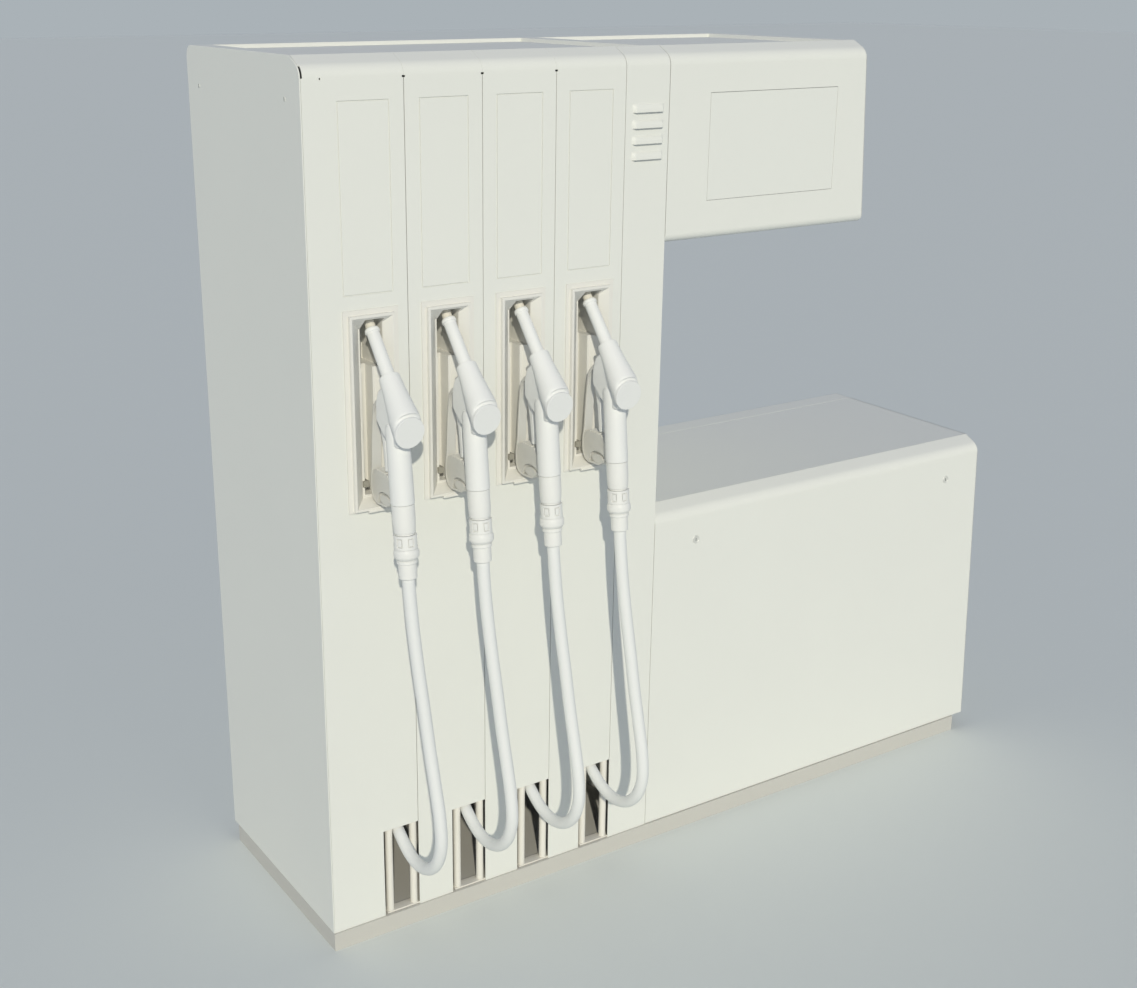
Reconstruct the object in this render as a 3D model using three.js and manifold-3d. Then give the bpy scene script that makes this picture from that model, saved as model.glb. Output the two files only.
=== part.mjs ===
// Fuel dispenser with four hose positions: a tall hose column, an electronics head that
// stands out beside its top, and a low hydraulics cabinet under the head.
//
// Shop axes, in millimetres: x runs right from the column's left face, y runs back from the
// flush front plane, z runs up from the floor. The whole group is shifted at the end so that
// its origin is the bottom centre of the machine without its hoses.

import * as THREE from 'three';
import { ConvexGeometry } from 'three/addons/geometries/ConvexGeometry.js';
import { mergeVertices } from 'three/addons/utils/BufferGeometryUtils.js';
import Module from 'manifold-3d';

const wasm = await Module();
wasm.setup();

// ---------------------------------------------------------------- driving dimensions

const TOTAL_HEIGHT = 2200;
const CABINET_TOP = 1007;
const HEAD_BOTTOM = 1720;
const DEPTH = 646;
const PLINTH_HEIGHT = 49;

const HOSES = 4;
const SIDE_CAP_WIDTH = 47.5;
const MODULE_WIDTH = 202;
const VENT_WIDTH = 132;
const COLUMN_RIGHT = SIDE_CAP_WIDTH + HOSES * MODULE_WIDTH + VENT_WIDTH;
const VENT_LEFT = COLUMN_RIGHT - VENT_WIDTH;
const HEAD_RIGHT = 1672;
const CABINET_RIGHT = 2300;
const PLINTH_RIGHT = 2253;
const PLINTH_FRONT = -4.6;
const PLINTH_BACK = DEPTH - 29;
const END_LEAN = 0.058;

const SKIN = 3;
const GAP = 0.3;
const SHUT_LINE = 1.6;

const CREST_SETBACK = 49;
const EDGE_RADIUS = 34;
const FACET_ANGLE = THREE.MathUtils.degToRad(28);
const BACK_RADIUS = 29;
const RIM_WIDTH = 48;
const RIM_DEPTH = 13;
const ROOF_RECESS = 9.7;
const CABINET_RIM_WIDTH = 90;
const CABINET_END_RIM = 22;

const NOZZLE_OFFSET = 12;
const BOOT_OFFSET = 3;
const HOSE_DIAMETER = 31;
const HOSE_BOX_OFFSET = 51;
const SLOT_TOP = 297;
const ROLLER_DIAMETER = 20;
const ROLLER_SPREAD = 70;
const ROLLER_DEPTH = 14;

const SHEAVE_Y = 280;
const SHEAVE_Z = 1800;
const SHEAVE_LINE_RADIUS = 130;
const AXLE_DIAMETER = 24;
const MANIFOLD_Y = SHEAVE_Y + SHEAVE_LINE_RADIUS;
const MANIFOLD_Z = 420;
const MANIFOLD_DIAMETER = 48;
const OUTLET_TOP = 500;

const LOCK_Z = 893.5;
const LOCK_X = [1132.5, 2113.5];
const LOCK_DIAMETER = 24;

const DRIVE_Y = 150;
const DRIVE_Z = 300;
const MOTOR_X = 1560;
const PUMP_X = 1900;
const MOTOR_PULLEY_RADIUS = 45;
const PUMP_PULLEY_RADIUS = 90;
const BELT_THICKNESS = 8;
const BELT_WIDTH = 22;

// ---------------------------------------------------------------- finishes

const FINISHES = {
  coat: { color: 0xe2e4dc, roughness: 0.5, metalness: 0.0 },
  moulding: { color: 0xeceee9, roughness: 0.38, metalness: 0.0 },
  rubber: { color: 0xe0e0d8, roughness: 0.6, metalness: 0.0 },
  glass: { color: 0xdfe3df, roughness: 0.15, metalness: 0.0 },
  zinc: { color: 0xb9bcbd, roughness: 0.4, metalness: 0.8 },
  casting: { color: 0x8d9192, roughness: 0.6, metalness: 0.5 },
  belt: { color: 0x2c2d2f, roughness: 0.8, metalness: 0.0 },
};

// ---------------------------------------------------------------- solids and booleans

const dispenser = new THREE.Group();
const cordNames = new Set();

/** Closed geometry to a manifold solid. */
function solidOf(geometry) {
  const bare = geometry.clone();
  for (const name of Object.keys(bare.attributes)) {
    if (name !== 'position') bare.deleteAttribute(name);
  }
  bare.morphAttributes = {};
  const merged = mergeVertices(bare, 1e-4);
  const vertProperties = new Float32Array(merged.attributes.position.array);
  const triVerts = new Uint32Array(merged.index.array);
  return new wasm.Manifold(new wasm.Mesh({ numProp: 3, vertProperties, triVerts }));
}

/** Manifold solid back to a geometry. */
function geometryOf(solid) {
  const mesh = solid.getMesh();
  const geometry = new THREE.BufferGeometry();
  geometry.setAttribute('position', new THREE.BufferAttribute(new Float32Array(mesh.vertProperties), 3));
  geometry.setIndex(new THREE.BufferAttribute(new Uint32Array(mesh.triVerts), 1));
  geometry.computeVertexNormals();
  return geometry;
}

function join(...solids) {
  return solids.reduce((whole, piece) => whole.add(piece));
}

function cut(solid, ...tools) {
  return tools.reduce((rest, tool) => rest.subtract(tool), solid);
}

/** Adds one named sub-part in shop axes. */
function addPart(name, solid, finish) {
  const material = new THREE.MeshStandardMaterial({ ...FINISHES[finish], flatShading: true });
  const mesh = new THREE.Mesh(geometryOf(solid), material);
  mesh.name = name;
  dispenser.add(mesh);
  return mesh;
}

function box(x0, x1, y0, y1, z0, z1) {
  const geometry = new THREE.BoxGeometry(x1 - x0, y1 - y0, z1 - z0);
  geometry.translate((x0 + x1) / 2, (y0 + y1) / 2, (z0 + z1) / 2);
  return solidOf(geometry);
}

/** An outline of [y, z] points, carried along x. */
function prismX(outline, x0, x1) {
  const shape = new THREE.Shape(outline.map(([y, z]) => new THREE.Vector2(y, z)));
  const geometry = new THREE.ExtrudeGeometry(shape, { depth: x1 - x0, bevelEnabled: false });
  const axes = new THREE.Matrix4().makeBasis(
    new THREE.Vector3(0, 1, 0), new THREE.Vector3(0, 0, 1), new THREE.Vector3(1, 0, 0));
  geometry.applyMatrix4(axes);
  geometry.translate(x0, 0, 0);
  return solidOf(geometry);
}

/** An outline of [x, z] points, carried along y. */
function prismY(outline, y0, y1) {
  const shape = new THREE.Shape(outline.map(([x, z]) => new THREE.Vector2(x, z)));
  const geometry = new THREE.ExtrudeGeometry(shape, { depth: y1 - y0, bevelEnabled: false });
  const axes = new THREE.Matrix4().makeBasis(
    new THREE.Vector3(1, 0, 0), new THREE.Vector3(0, 0, 1), new THREE.Vector3(0, -1, 0));
  geometry.applyMatrix4(axes);
  geometry.translate(0, y1, 0);
  return solidOf(geometry);
}

/** The convex body between two rectangles [x0, x1, z0, z1] at two depths. */
function taper(front, yFront, back, yBack) {
  const corners = [];
  for (const [[x0, x1, z0, z1], y] of [[front, yFront], [back, yBack]]) {
    for (const x of [x0, x1]) {
      for (const z of [z0, z1]) corners.push(new THREE.Vector3(x, y, z));
    }
  }
  return solidOf(new ConvexGeometry(corners));
}

/** A body of revolution: profile of [distance along axis, radius] from the point start. */
function turned(start, direction, profile, sides) {
  const points = [];
  points.push(new THREE.Vector2(0, profile[0][0]));
  for (const [along, radius] of profile) points.push(new THREE.Vector2(radius, along));
  points.push(new THREE.Vector2(0, profile[profile.length - 1][0]));
  return aligned(new THREE.LatheGeometry(points, sides), start, direction);
}

/** A closed ring of revolution: profile of [distance along axis, radius], joined end to end. */
function turnedRing(start, direction, profile, sides) {
  const points = profile.map(([along, radius]) => new THREE.Vector2(radius, along));
  points.push(points[0].clone());
  return aligned(new THREE.LatheGeometry(points, sides), start, direction);
}

function aligned(geometry, start, direction) {
  const up = new THREE.Vector3(0, 1, 0);
  const turn = new THREE.Quaternion().setFromUnitVectors(up, new THREE.Vector3(...direction).normalize());
  geometry.applyQuaternion(turn);
  geometry.translate(...start);
  return solidOf(geometry);
}

function rod(start, end, radius, sides) {
  const from = new THREE.Vector3(...start);
  const along = new THREE.Vector3(...end).sub(from);
  return turned(start, along.toArray(), [[0, radius], [along.length(), radius]], sides);
}

// ---------------------------------------------------------------- casing profiles

const filletSweep = Math.PI / 2 - FACET_ANGLE;
const filletRise = EDGE_RADIUS * Math.sin(filletSweep);
const filletRun = EDGE_RADIUS * (1 - Math.cos(filletSweep));
const EDGE_HEIGHT = filletRise + (CREST_SETBACK - filletRun) * Math.tan(FACET_ANGLE);

/** Front edge from the flush face round the fillet to the crest, inset by `inset`. */
function frontEdge(top, inset, lastY) {
  const steps = 4;
  const points = [];
  for (let i = 0; i <= steps; i += 1) {
    const angle = Math.PI - (filletSweep * i) / steps;
    points.push([
      EDGE_RADIUS + (EDGE_RADIUS - inset) * Math.cos(angle),
      top - EDGE_HEIGHT + (EDGE_RADIUS - inset) * Math.sin(angle),
    ]);
  }
  const drop = inset / Math.cos(FACET_ANGLE) + (CREST_SETBACK - lastY) * Math.tan(FACET_ANGLE);
  points.push([lastY, top - drop]);
  return points;
}

/** Back edge from the flat rim round to the vertical back, inset by `inset`. */
function backEdge(top, inset) {
  const steps = 3;
  const points = [];
  for (let i = 0; i <= steps; i += 1) {
    const angle = Math.PI / 2 - (Math.PI / 2) * (i / steps);
    points.push([
      DEPTH - BACK_RADIUS + (BACK_RADIUS - inset) * Math.cos(angle),
      top - BACK_RADIUS + (BACK_RADIUS - inset) * Math.sin(angle),
    ]);
  }
  return points;
}

/** Section of a front skin, with its rolled top edge and the rim's return. */
function frontSkin(bottom, top) {
  const innerLip = CREST_SETBACK - SKIN;
  return [
    [0, bottom],
    [SKIN, bottom],
    ...frontEdge(top, SKIN, innerLip),
    [innerLip, top - RIM_DEPTH],
    [CREST_SETBACK, top - RIM_DEPTH],
    ...frontEdge(top, 0, CREST_SETBACK).reverse(),
  ];
}

/** Section of a back skin, with its rounded top corner, flat rim and return. */
function backSkin(bottom, top, rimWidth) {
  const rim = DEPTH - rimWidth;
  return [
    [DEPTH - SKIN, bottom],
    [DEPTH, bottom],
    ...backEdge(top, 0).reverse(),
    [rim, top],
    [rim, top - RIM_DEPTH],
    [rim + SKIN, top - RIM_DEPTH],
    [rim + SKIN, top - SKIN],
    ...backEdge(top, SKIN),
  ];
}

/** Whole side outline of a casing, inset by `inset`, down to `bottom`. */
function casingOutline(bottom, top, inset) {
  return [
    [inset, bottom],
    [DEPTH - inset, bottom],
    ...backEdge(top, inset).reverse(),
    ...frontEdge(top, inset, CREST_SETBACK).reverse(),
  ];
}

// ---------------------------------------------------------------- base and hose column

function buildPlinth() {
  const outer = box(0, PLINTH_RIGHT, PLINTH_FRONT, PLINTH_BACK, 0, PLINTH_HEIGHT);
  const wall = 60;
  const plate = 4;
  const hollow = box(wall, PLINTH_RIGHT - wall, wall, PLINTH_BACK - wall, -1, PLINTH_HEIGHT - plate);
  const pipeHole = rod([PUMP_X, 330, 0], [PUMP_X, 330, PLINTH_HEIGHT + 1], 45, 16);
  addPart('plinth', cut(outer, hollow, pipeHole), 'coat');
}

function moduleLeft(index) {
  return SIDE_CAP_WIDTH + index * MODULE_WIDTH;
}

function moduleCentre(index) {
  return moduleLeft(index) + MODULE_WIDTH / 2;
}

function buildHosePanel(index) {
  const first = index === 0;
  const last = index === HOSES - 1;
  const seamLeft = moduleLeft(index) + SHUT_LINE / 2;
  const seamRight = moduleLeft(index + 1) - SHUT_LINE / 2;
  const left = first ? SKIN + GAP : moduleLeft(index) + GAP / 2;
  const right = last ? seamRight : moduleLeft(index + 1) - GAP / 2;
  const centre = moduleCentre(index);
  const boot = centre + BOOT_OFFSET;
  const bottom = PLINTH_HEIGHT + GAP;
  const seamTop = TOTAL_HEIGHT - EDGE_HEIGHT;
  const skin = prismX(frontSkin(bottom, TOTAL_HEIGHT), left, right);
  const opening = box(boot - 62, boot + 62, -5, 20, 1168.5, 1637);
  const slot = box(centre, right + 5, -5, 20, bottom - 5, SLOT_TOP);
  const label = [centre - 63.5, centre + 63.5, 1679.5, 2104.5];
  const groove = 1.5;
  const line = 2;
  const labelGroove = cut(
    box(label[0], label[1], -5, groove, label[2], label[3]),
    box(label[0] + line, label[1] - line, -6, groove + 1, label[2] + line, label[3] - line));
  const cuts = [opening, slot, labelGroove];
  if (!first) cuts.push(box(left - 5, seamLeft, -5, 20, bottom - 5, seamTop));
  if (!last) cuts.push(box(seamRight, right + 5, -5, 20, bottom - 5, seamTop));
  addPart(`hose_panel_${index + 1}`, cut(skin, ...cuts), 'coat');
}

/** Grows a rectangle [x0, x1, z0, z1] by `margin` on every side. */
function grown([x0, x1, z0, z1], margin) {
  return [x0 - margin, x1 + margin, z0 - margin, z1 + margin];
}

/** Moulded pocket that holds a nozzle: flange, raised rim, funnel, deep recess and spout hole. */
function buildNozzleBoot(index) {
  const x = moduleCentre(index) + BOOT_OFFSET;
  const flangeBack = -GAP;
  const rimFront = -13;
  const throat = 24;
  const recessBack = 62;
  const wall = 4;
  const mouth = [x - 53, x + 53, 1175, 1629.5];
  const neck = [x - 20, x + 20, 1191, 1596];
  const recess = [x - 14, x + 14, 1197, 1590];
  const spoutHole = [x - 16, x + 34, 1505, 1623];
  const block = ([x0, x1, z0, z1], y0, y1) => box(x0, x1, y0, y1, z0, z1);

  const flange = block([x - 70, x + 70, 1166, 1646.5], flangeBack - SKIN, flangeBack);
  const rim = block([x - 58, x + 58, 1170, 1634.5], rimFront, flangeBack - SKIN + 0.5);
  const funnel = taper([x - 48, x + 48, 1174.5, 1624], flangeBack - 1, grown(neck, wall), throat + wall);
  const tub = block(grown(recess, wall), throat, recessBack + wall);
  const pocket = block(grown(spoutHole, wall), 0, 118);
  const shell = cut(
    join(flange, rim, funnel, tub, pocket),
    taper(mouth, rimFront - 1, neck, throat),
    block(recess, throat - 1, recessBack),
    block(spoutHole, rimFront - 5, 114));
  const liftSwitch = box(x - 19, x - 5, 18, recessBack + 1, 1218, 1232);
  addPart(`nozzle_boot_${index + 1}`, join(shell, liftSwitch), 'moulding');
}

/** Pair of upright rollers that guide the hose through the slot, held by two plates. */
function buildHoseGuide(index) {
  const middle = moduleCentre(index) + HOSE_BOX_OFFSET + 5;
  const bottom = PLINTH_HEIGHT + 1;
  const top = SLOT_TOP + 35;
  const left = middle - ROLLER_SPREAD / 2;
  const right = middle + ROLLER_SPREAD / 2;
  const radius = ROLLER_DIAMETER / 2;
  const front = SKIN + GAP;
  const footPlate = box(left - 12, right + 12, front, 30, bottom, bottom + 4);
  const headPlate = box(left - 12, right + 12, front, 30, top - 4, top);
  const rollers = [left, right].map(
    (x) => rod([x, ROLLER_DEPTH, bottom + 1], [x, ROLLER_DEPTH, top - 1], radius, 10));
  addPart(`hose_guide_${index + 1}`, join(footPlate, headPlate, ...rollers), 'zinc');
}

/** Grooved wheel that the hose runs over inside the column. */
function buildHosePulley(index) {
  const x = moduleCentre(index) + HOSE_BOX_OFFSET;
  const hub = AXLE_DIAMETER / 2 + 1;
  const profile = [
    [-24, hub], [-22, 138], [-18, 140], [-15, 106], [15, 106], [18, 140], [22, 138], [24, hub],
  ];
  addPart(`hose_pulley_${index + 1}`, turnedRing([x, SHEAVE_Y, SHEAVE_Z], [1, 0, 0], profile, 16), 'moulding');
}

function buildPulleyAxle() {
  const left = SKIN + GAP;
  const right = COLUMN_RIGHT - SKIN - 2 * GAP;
  const axle = rod([left, SHEAVE_Y, SHEAVE_Z], [right, SHEAVE_Y, SHEAVE_Z], AXLE_DIAMETER / 2, 12);
  const leftPlate = box(left, left + 5, SHEAVE_Y - 45, SHEAVE_Y + 45, SHEAVE_Z - 70, SHEAVE_Z + 45);
  const rightPlate = box(right - 5, right, SHEAVE_Y - 45, SHEAVE_Y + 45, SHEAVE_Z - 70, SHEAVE_Z + 45);
  addPart('pulley_axle', join(axle, leftPlate, rightPlate), 'zinc');
}

function buildColumnCasing() {
  const bottom = PLINTH_HEIGHT + GAP;
  const top = TOTAL_HEIGHT;
  const capEnd = SIDE_CAP_WIDTH - SHUT_LINE / 2;
  const cap = prismX(casingOutline(bottom, top, 0), 0, capEnd);
  const capHollow = prismX(casingOutline(bottom - 5, top, SKIN), SKIN, capEnd + 5);
  const frontClear = box(SKIN, capEnd + 5, -5, CREST_SETBACK + GAP, bottom - 5, top + 5);
  addPart('column_side_left', cut(cap, capHollow, frontClear), 'coat');

  const backLeft = SIDE_CAP_WIDTH + SHUT_LINE / 2;
  const back = prismX(backSkin(bottom, top, RIM_WIDTH), backLeft, COLUMN_RIGHT);
  addPart('column_back', back, 'coat');

  const wallLeft = COLUMN_RIGHT - SKIN;
  const wallTop = top - RIM_DEPTH - GAP;
  const wall = box(wallLeft, COLUMN_RIGHT - GAP, SKIN + GAP, DEPTH - SKIN - GAP, bottom, wallTop);
  const reliefBottom = top - EDGE_HEIGHT - 30;
  const edgeRelief = box(wallLeft - 1, COLUMN_RIGHT + 1, -1, CREST_SETBACK + GAP, reliefBottom, top);
  const backRelief = box(wallLeft - 1, COLUMN_RIGHT + 1, DEPTH - RIM_WIDTH - GAP, DEPTH, reliefBottom, top);
  const pipeHole = rod(
    [wallLeft - 5, MANIFOLD_Y, MANIFOLD_Z], [COLUMN_RIGHT + 5, MANIFOLD_Y, MANIFOLD_Z], 34, 16);
  const cableHole = rod([wallLeft - 5, 420, 1960], [COLUMN_RIGHT + 5, 420, 1960], 30, 12);
  addPart('column_wall_right', cut(wall, edgeRelief, backRelief, pipeHole, cableHole), 'coat');

  const panLeft = SIDE_CAP_WIDTH + SHUT_LINE / 2;
  const panRight = COLUMN_RIGHT;
  const panFront = CREST_SETBACK + GAP;
  const panBack = DEPTH - RIM_WIDTH - GAP;
  const pan = box(panLeft, panRight, panFront, panBack, top - RIM_DEPTH + GAP, top - ROOF_RECESS);
  const rightRim = box(panRight - RIM_WIDTH, panRight, panFront, panBack, top - RIM_DEPTH + GAP, top);
  addPart('column_roof', join(pan, rightRim), 'coat');
}

/** Narrow front skin with four louvre hoods, open underneath. */
function buildVentPanel() {
  const left = VENT_LEFT + SHUT_LINE / 2;
  const bottom = PLINTH_HEIGHT + GAP;
  let panel = prismX(frontSkin(bottom, TOTAL_HEIGHT), left, COLUMN_RIGHT);
  const louvres = 4;
  const lowest = 1933;
  const pitch = 37.7;
  const width = 94;
  const middle = VENT_LEFT + 68;
  for (let i = 0; i < louvres; i += 1) {
    const z = lowest + i * pitch;
    const hood = prismX(
      [[0.5, z], [0.5, z + 19], [-1.5, z + 18], [-8, z + 9], [-8, z]],
      middle - width / 2, middle + width / 2);
    const mouth = prismX(
      [[SKIN + 1, z - 1], [SKIN + 1, z + 9], [-1, z + 13], [-6, z + 7], [-6, z - 1]],
      middle - width / 2 + 3, middle + width / 2 - 3);
    panel = cut(join(panel, hood), mouth);
  }
  addPart('vent_panel', panel, 'coat');
}

// ---------------------------------------------------------------- nozzles

const SPOUT_BASE = [-67, 1501];
const SPOUT_DIRECTION = [0, 0.645, 0.764];
const CAP_CENTRE = [-156, 1393];
const CAP_TILT = THREE.MathUtils.degToRad(8);
const LEVER_PIVOT = [-38, 1402];
const HANDLE_RADIUS = 28;
const SWIVEL_LENGTH = 177;
const HANDLE_TOP = [-99, 1400];
const HANDLE_FOOT = [-119.6, 1213];
const handleLength = Math.hypot(HANDLE_FOOT[0] - HANDLE_TOP[0], HANDLE_FOOT[1] - HANDLE_TOP[1]);
const HANDLE_DIRECTION = [
  0, (HANDLE_FOOT[0] - HANDLE_TOP[0]) / handleLength, (HANDLE_FOOT[1] - HANDLE_TOP[1]) / handleLength,
];

function nozzleX(index) {
  return moduleCentre(index) + NOZZLE_OFFSET;
}

/** Valve body, lever housing, hand grip and finger guard of one nozzle. */
function buildNozzleBody(index) {
  const x = nozzleX(index);
  const down = SPOUT_DIRECTION.map((value) => -value);
  const barrel = turned([x, ...SPOUT_BASE], down, [[0, 24.5], [40, 27], [105, 35], [190, 35]], 12);
  const capFace = [x, ...CAP_CENTRE];
  const capNormal = [0, -Math.cos(CAP_TILT), -Math.sin(CAP_TILT)];
  const trim = turned(capFace, capNormal, [[0, 160], [200, 160]], 8);
  const cap = turned([x, CAP_CENTRE[0] + 2, CAP_CENTRE[1]], capNormal, [[0, 37], [6, 37], [8, 35]], 12);
  const grip = rod([x, ...HANDLE_TOP], [x, ...HANDLE_FOOT], HANDLE_RADIUS, 10);
  const housing = prismX(
    [
      [-70, 1484], [-42, 1461], [-33, 1425], [-36, 1392], [-68, 1368], [-104, 1352], [-140, 1352],
      [-140, 1400], [-96, 1474],
    ],
    x - 21, x + 21);
  const guardOuter = [
    [-36, 1446], [-6, 1426], [4, 1360], [10, 1273], [16, 1242], [14, 1208], [2, 1190], [-14, 1184],
    [-60, 1188], [-90, 1211.5], [-106, 1214.5],
  ];
  const guardInner = [
    [-100, 1220], [-58, 1194], [-16, 1190], [-3, 1194], [8, 1210], [10, 1241], [4, 1271], [-2, 1360],
    [-11, 1422], [-36, 1438],
  ];
  const guard = prismX([...guardOuter, ...guardInner], x - 12, x + 12);
  const foot = prismX(
    [
      [-98, 1216], [-60, 1191], [-14, 1187], [2, 1193], [10, 1210], [12, 1241], [4, 1262], [-10, 1268],
      [-66, 1268],
    ],
    x - 11, x + 11);
  const eye = [-53, 1207];
  const oval = (alongY, alongZ) => Array.from({ length: 20 }, (_, i) => {
    const angle = (Math.PI * i) / 10;
    return [eye[0] + alongY * Math.cos(angle), eye[1] + alongZ * Math.sin(angle)];
  });
  const archDepth = 3;
  const archCuts = [[x - 12, x - 11 + archDepth], [x + 11 - archDepth, x + 12]].map(([from, to]) => cut(
    prismX(oval(30, 15), from, to),
    prismX(oval(25, 10.5), from - 1, to + 1),
    box(from - 1, to + 1, -100, 0, 1150, eye[1] + 1)));
  const guardFoot = cut(foot, ...archCuts);
  const body = join(cut(join(barrel, housing), trim), cap, grip, guard, guardFoot);
  const leverSlot = box(x - 8.5, x + 8.5, -84, -20, 1360, 1420);
  const pin = rod([x - 10, ...LEVER_PIVOT], [x + 10, ...LEVER_PIVOT], 4, 8);
  addPart(`nozzle_body_${index + 1}`, join(cut(body, leverSlot), pin), 'moulding');
}

/** Spout with its sleeve and collar. */
function buildNozzleSpout(index) {
  const start = [nozzleX(index), SPOUT_BASE[0] + GAP * 0.645, SPOUT_BASE[1] + GAP * 0.764];
  const profile = [[0, 15.5], [114, 15], [115, 17.5], [123, 17.5], [126, 12], [146, 12]];
  const outside = turned(start, SPOUT_DIRECTION, profile, 12);
  const mouth = turned(
    [start[0], start[1] + 141 * 0.645, start[2] + 141 * 0.764], SPOUT_DIRECTION, [[0, 9], [8, 9]], 12);
  addPart(`nozzle_spout_${index + 1}`, cut(outside, mouth), 'moulding');
}

/** Squeeze lever inside the guard. */
function buildNozzleTrigger(index) {
  const x = nozzleX(index);
  const lever = prismX(
    [
      [-44, 1412], [-30, 1410], [-32, 1376], [-43, 1340], [-50, 1290], [-51, 1272], [-60, 1272],
      [-62, 1290], [-55, 1344],
    ],
    x - 8, x + 8);
  const bore = rod([x - 20, ...LEVER_PIVOT], [x + 20, ...LEVER_PIVOT], 4.7, 8);
  addPart(`nozzle_trigger_${index + 1}`, cut(lever, bore), 'moulding');
}

/** Swivel coupling and hose clamp under the grip. */
function buildNozzleSwivel(index) {
  const start = [
    nozzleX(index), HANDLE_FOOT[0] + GAP * HANDLE_DIRECTION[1], HANDLE_FOOT[1] + GAP * HANDLE_DIRECTION[2],
  ];
  const profile = [
    [0, 27], [40, 27], [66, 25], [70, 25], [71, 27.5], [104, 27.5], [108, 29.5], [124, 29.5], [131, 24],
    [140, 24], [141, 21.5], [174, 21.5], [SWIVEL_LENGTH, 20],
  ];
  addPart(`nozzle_swivel_${index + 1}`, turned(start, HANDLE_DIRECTION, profile, 14), 'moulding');
}

// ---------------------------------------------------------------- hoses

/** Route of a hose: sideways offset from its module's centre, y and z. */
const HOSE_ROUTE = [
  [12, -139.1, 1036.3], [12, -144.5, 990], [14, -153, 915], [18, -167, 815], [23, -183, 715],
  [28, -199, 610], [32, -216, 520], [34, -232, 440], [35, -235, 370], [36, -214, 312],
  [38, -170, 268], [41, -112, 246], [45, -58, 247], [50, -2, 266], [51, 44, 305],
  [51, 72, 372], [51, 83, 460], [51, 97, 600], [51, 117, 780], [51, 137, 990],
  [51, 148, 1210], [51, 150, 1420], [51, 150, 1620], [51, 150, 1780], [51, 159, 1848],
  [51, 187, 1891], [51, 230, 1920.2], [51, 280, 1930], [51, 330, 1920.2], [51, 373, 1891],
  [51, 401, 1848], [51, 410, 1780], [51, 410, 1500], [51, 410, 1100], [51, 410, 760], [51, 410, 500.3],
];

function buildHose(index) {
  const x = moduleCentre(index);
  const points = HOSE_ROUTE.map(([offset, y, z]) => new THREE.Vector3(x + offset, y, z));
  const path = new THREE.CatmullRomCurve3(points, false, 'centripetal');
  const sides = 8;
  const section = new THREE.Shape();
  for (let i = 0; i < sides; i += 1) {
    const angle = (i / sides) * 2 * Math.PI;
    const corner = [(HOSE_DIAMETER / 2) * Math.cos(angle), (HOSE_DIAMETER / 2) * Math.sin(angle)];
    if (i === 0) section.moveTo(...corner);
    else section.lineTo(...corner);
  }
  const tube = new THREE.ExtrudeGeometry(section, { steps: 54, extrudePath: path, bevelEnabled: false });
  const name = `hose_${index + 1}`;
  cordNames.add(name);
  addPart(name, solidOf(tube), 'rubber');
}

/** Cross pipe with one upright outlet for each hose, fed from the meter in the cabinet. */
function buildOutletManifold() {
  const pipe = rod([150, MANIFOLD_Y, MANIFOLD_Z], [1149.7, MANIFOLD_Y, MANIFOLD_Z], MANIFOLD_DIAMETER / 2, 12);
  const outlets = [];
  for (let i = 0; i < HOSES; i += 1) {
    const x = moduleCentre(i) + HOSE_BOX_OFFSET;
    outlets.push(rod([x, MANIFOLD_Y, MANIFOLD_Z], [x, MANIFOLD_Y, OUTLET_TOP], 19, 10));
  }
  addPart('outlet_manifold', join(pipe, ...outlets), 'casting');
}

// ---------------------------------------------------------------- electronics head

/** Right end of a casing, leaning in towards the top: cuts everything beyond the lean. */
function beyondLean(right, bottom, top, inset) {
  const far = right + 400;
  const margin = 60;
  const lean = (z) => right - inset - (z - bottom) * END_LEAN;
  return prismY(
    [[lean(bottom - margin), bottom - margin], [far, bottom - margin], [far, top + margin], [lean(top + margin), top + margin]],
    -100, DEPTH + 100);
}

/** The outermost `thickness` of a body that reaches past a leaning end. */
function leaningEnd(body, right, bottom, top, thickness) {
  const trimmed = cut(body, beyondLean(right, bottom, top, 0));
  return trimmed.intersect(beyondLean(right, bottom, top, thickness));
}

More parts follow.
